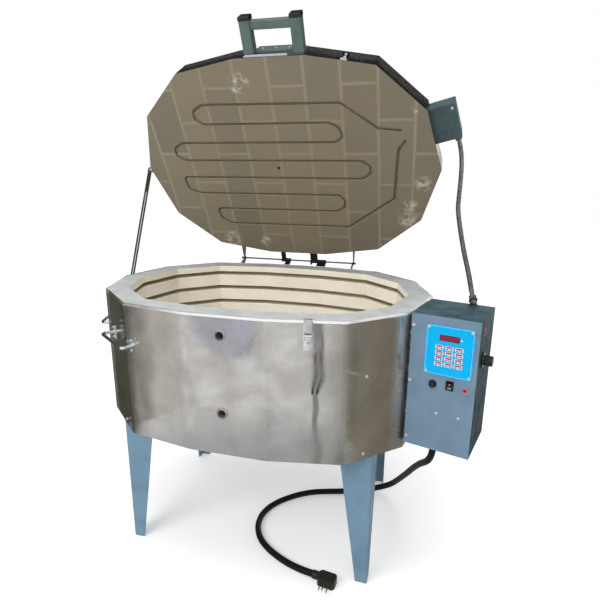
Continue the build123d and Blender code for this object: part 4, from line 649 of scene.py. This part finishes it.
points_a_turn = 6.0
winding, given = new_tree("wound wire along a path", ("Coil radius", "Wire radius", "Pitch", "Bend"))
line = add(winding, "GeometryNodeMeshToCurve", {"Mesh": given["Carrier"]})
line = add(winding, "GeometryNodeFilletCurve",
           {"Curve": line, "Radius": given["Bend"], "Count": 5, "Limit Radius": True}, mode="POLY")
step = add(winding, "ShaderNodeMath", {0: given["Pitch"], 1: points_a_turn}, operation="DIVIDE")
line = add(winding, "GeometryNodeResampleCurve", {"Curve": line, "Length": step}, mode="LENGTH")
along = add(winding, "GeometryNodeSplineParameter").outputs["Length"]
turns = add(winding, "ShaderNodeMath", {0: along, 1: given["Pitch"]}, operation="DIVIDE")
angle = add(winding, "ShaderNodeMath", {0: turns, 1: 2 * math.pi}, operation="MULTIPLY")
cosine = add(winding, "ShaderNodeMath", {0: angle}, operation="COSINE")
sine = add(winding, "ShaderNodeMath", {0: angle}, operation="SINE")
side = add(winding, "GeometryNodeInputNormal")
forward = add(winding, "GeometryNodeInputTangent")
other = add(winding, "ShaderNodeVectorMath", {0: forward, 1: side}, operation="CROSS_PRODUCT")
first = add(winding, "ShaderNodeVectorMath", {0: side, "Scale": cosine}, operation="SCALE")
second = add(winding, "ShaderNodeVectorMath", {0: other, "Scale": sine}, operation="SCALE")
around = add(winding, "ShaderNodeVectorMath", {0: first, 1: second}, operation="ADD")
push = add(winding, "ShaderNodeVectorMath", {0: around, "Scale": given["Coil radius"]}, operation="SCALE")
helix = add(winding, "GeometryNodeSetPosition", {"Geometry": line, "Offset": push})
ring = add(winding, "GeometryNodeCurvePrimitiveCircle", {"Resolution": 4, "Radius": given["Wire radius"]})
wire = add(winding, "GeometryNodeCurveToMesh", {"Curve": helix, "Profile Curve": ring, "Fill Caps": True})
hand_out(winding, wire, given["Finish"])
print("winding tree nodes:", len(winding.nodes))

# %% [markdown]
# The tree runs on a carrier, a mesh of bare edges along the groove. What it makes becomes a plain mesh,
# which rides on a body like any other piece.

# %% Run the tree over a carrier mesh
def evaluated_mesh(holder, name):
    """The plain mesh that an object makes. The object itself is removed."""
    graph = bpy.context.evaluated_depsgraph_get()
    mesh = bpy.data.meshes.new_from_object(holder.evaluated_get(graph), depsgraph=graph)
    mesh.name = name
    bpy.data.objects.remove(holder)
    return mesh


def grown(name, carrier, tree, inputs):
    """Evaluates a node tree on a carrier mesh and returns the result as a plain mesh object."""
    holder = new_object(name + "_carrier", carrier)
    modifier = holder.modifiers.new("grow", "NODES")
    modifier.node_group = tree
    for item in tree.interface.items_tree:
        if item.name in inputs:
            modifier[item.identifier] = inputs[item.name]
    piece = new_object(name, evaluated_mesh(holder, name))
    piece.data.calc_loop_triangles()
    print(name, "triangles:", len(piece.data.loop_triangles))
    return piece


def path_mesh(name, paths):
    """Edges along each path of points in mm, as the carrier of a tree."""
    corners, edges = [], []
    for points in paths:
        edges += [(len(corners) + k, len(corners) + k + 1) for k in range(len(points) - 1)]
        corners += [tuple(v / 1000 for v in point) for point in points]
    mesh = bpy.data.meshes.new(name)
    mesh.from_pydata(corners, edges, [])
    return mesh


def wire_finish(name, main, scaled):
    return blotchy(name, main, scaled, None, (20,), (1, 0.05, 0.4), Metallic=0.2, Roughness=0.6)


element_corners = (
    (400.6, -42.3), (353.0, 123.4), (224.9, 238.7), (37.3, 271.8), (-181.5, 271.8), (-369.2, 238.7),
    (-497.3, 123.4), (-544.9, -42.3), (-497.3, -208.1), (-369.2, -323.4), (-181.5, -356.5), (37.3, -356.5),
    (224.9, -323.4), (353.0, -208.1),
)
element_tails = (
    ((460.6, -132.1), (381.3, -109.4), (356.5, -195.9), (435.8, -218.6)),
    ((465.6, -114.8), (386.3, -92.1), (361.5, -178.6), (440.8, -201.3)),
)
turn_paths = []
for row in range(6):
    z = (groove_first + groove_pitch * row) * 1000
    enter, turn_in, turn_out, leave = element_tails[(row + 1) % 2]
    flat_path = (enter, turn_in, *element_corners, turn_out, leave)
    turn_paths.append([(x, y, z) for x, y in flat_path])
wound = {"Coil radius": 0.0036, "Wire radius": 0.0008, "Pitch": 0.006, "Bend": 0.014,
         "Finish": wire_finish("oxidised resistance wire, sides", "#7a6751", "#5e4f41")}
side_coils = grown("side_coils", path_mesh("side_paths", turn_paths), winding, wound)
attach(side_coils, "root")
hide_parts("side_elements")
print("rows of wire:", len(turn_paths))

# %% [markdown]
# The lid's element is one longer run that winds back and forth over the underside. Its path is written for
# the closed lid and turned up with the lid afterwards, because flat numbers are easier to check.

# %% Wind the lid element
wire_height = 864.5
tail_height = 912.5
lid_run = (
    (330.4, -178.4), (257.9, -186.3), (139.9, -271.3), (-334.1, -275.3), (-370.1, -255.3), (-370.1, -227.9),
    (-340.1, -207.9), (95.9, -207.9), (127.9, -193.9), (141.9, -160.5), (117.9, -140.5), (-444.1, -140.5),
    (-480.1, -120.5), (-480.1, -93.1), (-450.1, -73.1), (201.9, -73.1), (229.9, -53.1), (229.9, -25.7),
    (201.9, -5.7), (-477.1, -5.7), (-468.1, 45.7), (-424.1, 61.7), (115.9, 61.7), (137.9, 81.7),
    (131.9, 111.1), (103.9, 129.1), (-370.1, 129.1), (-364.1, 174.5), (-324.1, 196.5), (143.9, 196.5),
    (311.9, 69.7), (321.9, -112.3), (344.3, -146.0),
)
lid_path = [(x, y, wire_height) for x, y in lid_run]
lid_path = [(438.5, -209.4, tail_height), (*lid_run[0], tail_height), *lid_path,
            (*lid_run[-1], tail_height), (448.1, -175.8, tail_height)]
open_lid = (Matrix.Translation(hinge_point) @ Matrix.Rotation(-lid_angle, 4, "X")
            @ Matrix.Translation(-hinge_point))
# The lid's wire is the same wire as on the sides, painted paler: painted light against the shade of its
# grooves.
lid_wire_painted_paler = wire_finish("oxidised resistance wire, lid, painted paler", "#a89a80", "#8a7d67")
lid_wound = {**wound, "Coil radius": 0.0032, "Finish": lid_wire_painted_paler}
lid_coil = grown("lid_coil", path_mesh("lid_path", [lid_path]), winding, lid_wound)
lid_coil.data.transform(open_lid)
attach(lid_coil, "lid")
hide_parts("lid_element")
print("lid element runs:", len(lid_path) - 1)

# %% [markdown]
# ## Print on the controls
# The key legends, the marks on the switch and the ticks on the knob are screen print, a film too thin to
# see. Each is a thin raised shape laid on the surface that carries it. A ray shot at the surface finds its
# exact height and slope, so the print lies on a tilted rocker as well as on a flat cap.

# %% Find surfaces and lay print on them
shot = 0.08
film_lift = 0.00012
bar_thickness = 0.00012
letter_half_thickness = 0.00006


def surface_under(node, point, direction):
    """Where a ray through a point, shot from in front of it, meets a node, and the outward direction."""
    mesh = nodes[node].data
    faces = [tuple(face.vertices) for face in mesh.polygons]
    tree = BVHTree.FromPolygons([corner.co.copy() for corner in mesh.vertices], faces)
    hit, normal, _, _ = tree.ray_cast(point - direction * shot, direction)
    if normal.dot(direction) > 0:
        normal = -normal
    return hit, normal


def lay_on(piece, centre, normal):
    """Moves a shape made in its own flat plane onto a surface, upright."""
    out = normal.normalized()
    up = (upward - out * upward.dot(out)).normalized()
    turn = Matrix((up.cross(out), up, out)).transposed().to_4x4()
    piece.data.transform(Matrix.Translation(centre + out * film_lift) @ turn)


def printed_text(name, words, size_mm, stretch, ink):
    """Generic figures as a thin film, centred on the origin."""
    letters = bpy.data.curves.new(name, "FONT")
    letters.body = words
    letters.size = size_mm / 1000
    letters.align_x = "CENTER"
    letters.align_y = "CENTER"
    letters.extrude = letter_half_thickness
    mesh = evaluated_mesh(new_object(name + "_type", letters), name)
    mesh.transform(Matrix.Diagonal((*stretch, 1, 1)))
    mesh.materials.clear()
    piece = new_object(name, mesh)
    coat(piece, ink)
    return piece


def printed_bars(name, bars, ink):
    """Several thin bars, each (centre x, centre y, width, height) in mm, as one mesh."""
    work = bmesh.new()
    for x, y, width, height in bars:
        size = Matrix.Diagonal((width / 1000, height / 1000, bar_thickness, 1))
        shift = Matrix.Translation((x / 1000, y / 1000, 0))
        bmesh.ops.create_cube(work, size=1, matrix=shift @ size)
    mesh = bpy.data.meshes.new(name)
    work.to_mesh(mesh)
    work.free()
    piece = new_object(name, mesh)
    coat(piece, ink)
    return piece


print("print helpers ready")

# %% [markdown]
# Ink is flat and slightly glossy, a little worn in blotches. Three inks are enough: red, navy and white.

# %% Mix the inks and print the keys
red_ink = moulded("screen ink, red", "#c4162f", "#ad1830", 0.4)
navy_ink = moulded("screen ink, navy", "#1d2a5c", "#2a3768", 0.4)
white_ink = moulded("screen ink, white", "#eef1f4", "#dde2e6", 0.4)

caps = sorted(range(1, 13), key=lambda n: (-round(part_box(f"key_{n}")[0].z, 3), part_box(f"key_{n}")[0].x))
figures = "123456789<0>"
for number, figure in zip(caps, figures):
    low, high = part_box(f"key_{number}")
    hit, normal = surface_under(f"key_{number}", (low + high) / 2, inward)
    band = printed_bars(f"key_{number}_band", [(0, 2.9, 16, 4.2)], red_ink)
    legend = printed_text(f"key_{number}_legend", figure, 6.5, (1.5, 1), navy_ink)
    feet = printed_bars(f"key_{number}_feet", [(-5.8, -2.6, 4.6, 3.6), (5.8, -2.6, 4.6, 3.6)], navy_ink)
    for piece, drop in ((band, 0), (legend, 0.0022), (feet, 0)):
        lay_on(piece, hit - upward * drop, normal)
        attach(piece, f"key_{number}_cap")
print("keys printed:", len(caps))

# %% [markdown]
# The rocker's figures lie on its two slopes. The plate has a thin white border and a small white square.

# %% Mark the rocker and the plate
rocker_low, rocker_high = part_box("rocker")
for name, words, rise in (("rocker_on", "I", 0.0058), ("rocker_off", "O", -0.0058)):
    hit, normal = surface_under("rocker", (rocker_low + rocker_high) / 2 + upward * rise, inward)
    mark = printed_text(name, words, 8.5, (1.35, 0.8), white_ink)
    lay_on(mark, hit, normal)
    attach(mark, "rocker_switch")
plate_middle = box_spot(106, 0, 298)
hit, normal = surface_under("controller_plate", box_spot(60, 0, 240), inward)
plate_depth = (hit - box_origin).dot(inward)
edge_lines = printed_bars("plate_border", [
    (0, 67.2, 121, 0.4), (0, -67.2, 121, 0.4), (-60.5, 0, 0.4, 134), (60.5, 0, 0.4, 134), (31, 37, 3, 3),
], white_ink)
lay_on(edge_lines, plate_middle + inward * plate_depth, -inward)
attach(edge_lines, "root")
print("plate face at", round(plate_depth * 1000, 2), "mm")

# %% [markdown]
# The knob's skirt carries a ring of white ticks. Ticks round a centre are a repeat with one rule, so a
# small tree places them: a circle of points, a bar on each, turned to point outwards.

# %% Ring of ticks on the knob
tick_count = 12
tick_ring = 0.0185
tick_size = (0.004, 0.0009, 0.00015)
tick_tree, given = new_tree("ticks round a skirt", ("Ring radius",))
ring = add(tick_tree, "GeometryNodeMeshCircle", {"Vertices": tick_count, "Radius": given["Ring radius"]})
here = add(tick_tree, "GeometryNodeInputPosition")
turn = add(tick_tree, "FunctionNodeAlignRotationToVector", {"Vector": here}, axis="X")
bar = add(tick_tree, "GeometryNodeMeshCube", {"Size": tick_size})
many = add(tick_tree, "GeometryNodeInstanceOnPoints", {"Points": ring, "Instance": bar, "Rotation": turn})
hand_out(tick_tree, many, given["Finish"])

knob_middle = box_spot(182, 52, 275)
hit, normal = surface_under("dial_knob", knob_middle + upward * tick_ring, -across)
ticks = grown("knob_ticks", path_mesh("tick_seed", [[(0, 0, 0), (0, 0, 1)]]), tick_tree,
              {"Ring radius": tick_ring, "Finish": white_ink})
lay_on(ticks, hit - upward * tick_ring, across)
hit, normal = surface_under("dial_knob", knob_middle + upward * 0.008, -across)
pointer = printed_bars("knob_pointer", [(0, 0, 1.4, 10)], white_ink)
lay_on(pointer, hit, across)
for piece in (ticks, pointer):
    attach(piece, "dial")
print("ticks on the knob:", tick_count)

# %% [markdown]
# ## Put every finish on its node
# The noted finishes now go onto the CAD nodes. The print lists the nodes that are still bare.

# %% Coat the nodes
for node, material in finishes.items():
    coat(nodes[node], material)
bare = sorted(set(nodes) - set(finishes) - {"power_cord", "conduit", "side_elements", "lid_element"})
print("nodes without a finish:", bare)

# %% [markdown]
# ## Floor and the yard in the mirror
# The background is a plain white floor that keeps the soft shadow. The steel jacket, though, mirrors the
# yard in which it stands: grey paving in front, a dark hedge side on the left and a warm wall on the right.
# Cards that only mirror rays can see stand for those, so neither the light nor the background changes.

# %% Lay the floor
def flat_piece(name, corners, material):
    mesh = bpy.data.meshes.new(name)
    mesh.from_pydata(corners, [], [tuple(range(len(corners)))])
    piece = new_object(name, mesh)
    coat(piece, material)
    return piece


def seen_directly(tree):
    """1 for what meets the camera, a mirror or glass, 0 for what only lights the rest."""
    path = add(tree, "ShaderNodeLightPath").outputs
    seen = path["Is Camera Ray"]
    for label in ("Is Glossy Ray", "Is Transmission Ray"):
        seen = add(tree, "ShaderNodeMath", {0: seen, 1: path[label]}, operation="MAXIMUM")
    return seen


floor_paint, tree, shader = new_finish("matt white floor", Roughness=0.9, Specular_IOR_Level=0.1)
spot = place(tree)
away = add(tree, "ShaderNodeVectorMath", {0: spot}, operation="LENGTH").outputs[1]
far = add(tree, "ShaderNodeMapRange", {"Value": away, "From Min": 1.2, "From Max": 4.5,
                                       "To Min": 0.3, "To Max": 0.46})
lift = add(tree, "ShaderNodeMath", {0: seen_directly(tree), 1: far}, operation="MULTIPLY")
fill(shader, {"Base Color": blend_colours(tree, cloud(tree, spot, 400, 0.3, 0.7), "#f7f7f7", "#f3f3f3"),
              "Emission Color": (1, 1, 1, 1), "Emission Strength": lift})
floor = flat_piece("studio_floor", [(-12, -12, 0), (12, -12, 0), (12, 12, 0), (-12, 12, 0)], floor_paint)
print("floor:", [round(v) for v in floor.dimensions[:2]], "m")

# %% [markdown]
# A card is an even glow with blotches. Shades that come in with distance make a card darker or lighter near
# given points or along y, and give it its edges.

# %% Stand the cards in the yard
def card_finish(name, light, dark, blotch_mm):
    """An even glow with blotches, for a card that only reflections show."""
    material = bpy.data.materials.new(name)
    tree = emptied(material)
    tint = blend_colours(tree, cloud(tree, place(tree), blotch_mm, 0.3, 0.7, 6), light, dark)
    glow = add(tree, "ShaderNodeEmission", {"Color": tint})
    add(tree, "ShaderNodeOutputMaterial", {"Surface": glow})
    return material


cards = []


def mirror_card(name, corners, material):
    card = flat_piece(name, corners, material)
    card.visible_camera = False
    card.visible_diffuse = False
    card.visible_shadow = False
    card.visible_transmission = False
    cards.append(card)


def tinted(material, shade, start, end, centre=None):
    """Shades a card between two values of y, or two distances from a floor point."""
    tree = material.node_tree
    if centre is None:
        y = add(tree, "ShaderNodeSeparateXYZ", {0: place(tree)}).outputs[1]
        amount = add(tree, "ShaderNodeMapRange", {"Value": y, "From Min": start, "From Max": end})
    else:
        amount = fade_near(tree, place(tree), (*centre, 0), start, end)
    overlay(tree.nodes["Emission"].inputs["Color"], amount, shade)


paving = card_finish("paving in the mirror", "#ffffff", "#d2cfcc", 260)
# The paving is darker near the kiln, near a point right of the camera and near a point before the right
# end.
tinted(paving, "#b6b8b9", 1.6, 1.1, (0, 0))
tinted(paving, "#c9c9c8", 0.8, 0.25, (0.85, -1.7))
tinted(paving, "#8c8d85", 0.42, 0.1, (0.66, -0.95))
hedge = card_finish("dark side in the mirror", "#5f5f53", "#46463c", 300)
tinted(hedge, "#d6d0cb", -0.88, -1.03)
warm_wall = card_finish("warm wall in the mirror", "#a9a395", "#928c7e", 600)
tinted(warm_wall, "#7a7465", -0.58, -0.3)
tinted(warm_wall, "#e2e0dd", -0.9, -1.9)
dark_sky = card_finish("dark eaves in the mirror", "#232322", "#141414", 700)
post_black = card_finish("dark post in the mirror", "#3f3e3c", "#2e2d2b", 300)
# The grey card below the posts is a painted shadow: the post's shadow on the paving, as the jacket mirrors
# it.
post_shadow = card_finish("shadow of the post in the mirror", "#9d9c9a", "#8d8c8a", 300)
pale_tub = card_finish("pale tub in the mirror", "#d3d4e0", "#c3c5d2", 90)
mirror_card("paving_card", [(-4, -4, 0.004), (4, -4, 0.004), (4, 4, 0.004), (-4, 4, 0.004)], paving)
# An upright card stands over the line between two floor points, from a low to a high edge
for name, start, end, low, high, glow in (
        ("hedge_card", (-1.1, -1.22), (-1.1, 2.5), 0, 1.5, hedge),
        ("wall_card", (0.92, -2.1), (0.92, 0.3), 0, 0.7, warm_wall),
        ("eaves_card", (-5, 2.5), (5, 2.5), 1.9, 9, dark_sky),
        ("side_eaves_card", (2.8, 0.7), (2.8, 2.5), 1.3, 6, dark_sky),
        ("post_card_1", (0.236, -0.95), (0.25, -0.95), 0.395, 0.9, post_black),
        ("post_card_2", (0.2565, -0.95), (0.2695, -0.95), 0.395, 0.9, post_black),
        ("post_shadow_card", (0.243, -0.95), (0.267, -0.95), 0, 0.395, post_shadow)):
    mirror_card(name, [(*start, low), (*end, low), (*end, high), (*start, high)], glow)
tub_radius = 0.25
tub_height = 0.34
ring = [math.radians(360 / 28 * k) for k in range(28)]
for name, x, y, glow in (("tub_card", -0.79, -2.0, pale_tub), ("tub_edge_card", -0.772, -2.01, post_black)):
    disc = [(x + tub_radius * math.cos(t), y, tub_height + tub_radius * math.sin(t)) for t in ring]
    mirror_card(name, disc, glow)
print("cards placed:", len(cards))

# %% [markdown]
# ## Light
# A white surround gives the even light of an overcast yard, one wide soft lamp from the upper left front
# gives the forms a side, and one from above lights the chamber. The world shines white to the camera, to
# mirrors and to glass, and a little weaker to matt surfaces, so that paints render about as written.

# %% Light the scene
world = bpy.data.worlds.new("overcast surround")
bpy.context.scene.world = world
tree = emptied(world)
shine = add(tree, "ShaderNodeMapRange", {"Value": seen_directly(tree), "To Min": 0.62, "To Max": 1.0})
surround = add(tree, "ShaderNodeBackground", {"Color": (1, 1, 1, 1), "Strength": shine})
add(tree, "ShaderNodeOutputWorld", {"Surface": surround})


def soft_lamp(name, position, target, size, power):
    data = bpy.data.lights.new(name, "AREA")
    data.shape = "RECTANGLE"
    data.size, data.size_y = size
    data.energy = power
    lamp = new_object(name, data)
    lamp.location = position
    lamp.rotation_euler = (Vector(target) - Vector(position)).to_track_quat("-Z", "Y").to_euler()
    lamp.visible_glossy = False
    print(name, power, "W")


soft_lamp("front_left_lamp", (-1.6, -3.0, 2.9), (0, 0, 0.9), (2.6, 2.0), 78)
soft_lamp("top_lamp", (0.3, -0.2, 3.9), (0, 0, 0.6), (2.5, 2.5), 62)
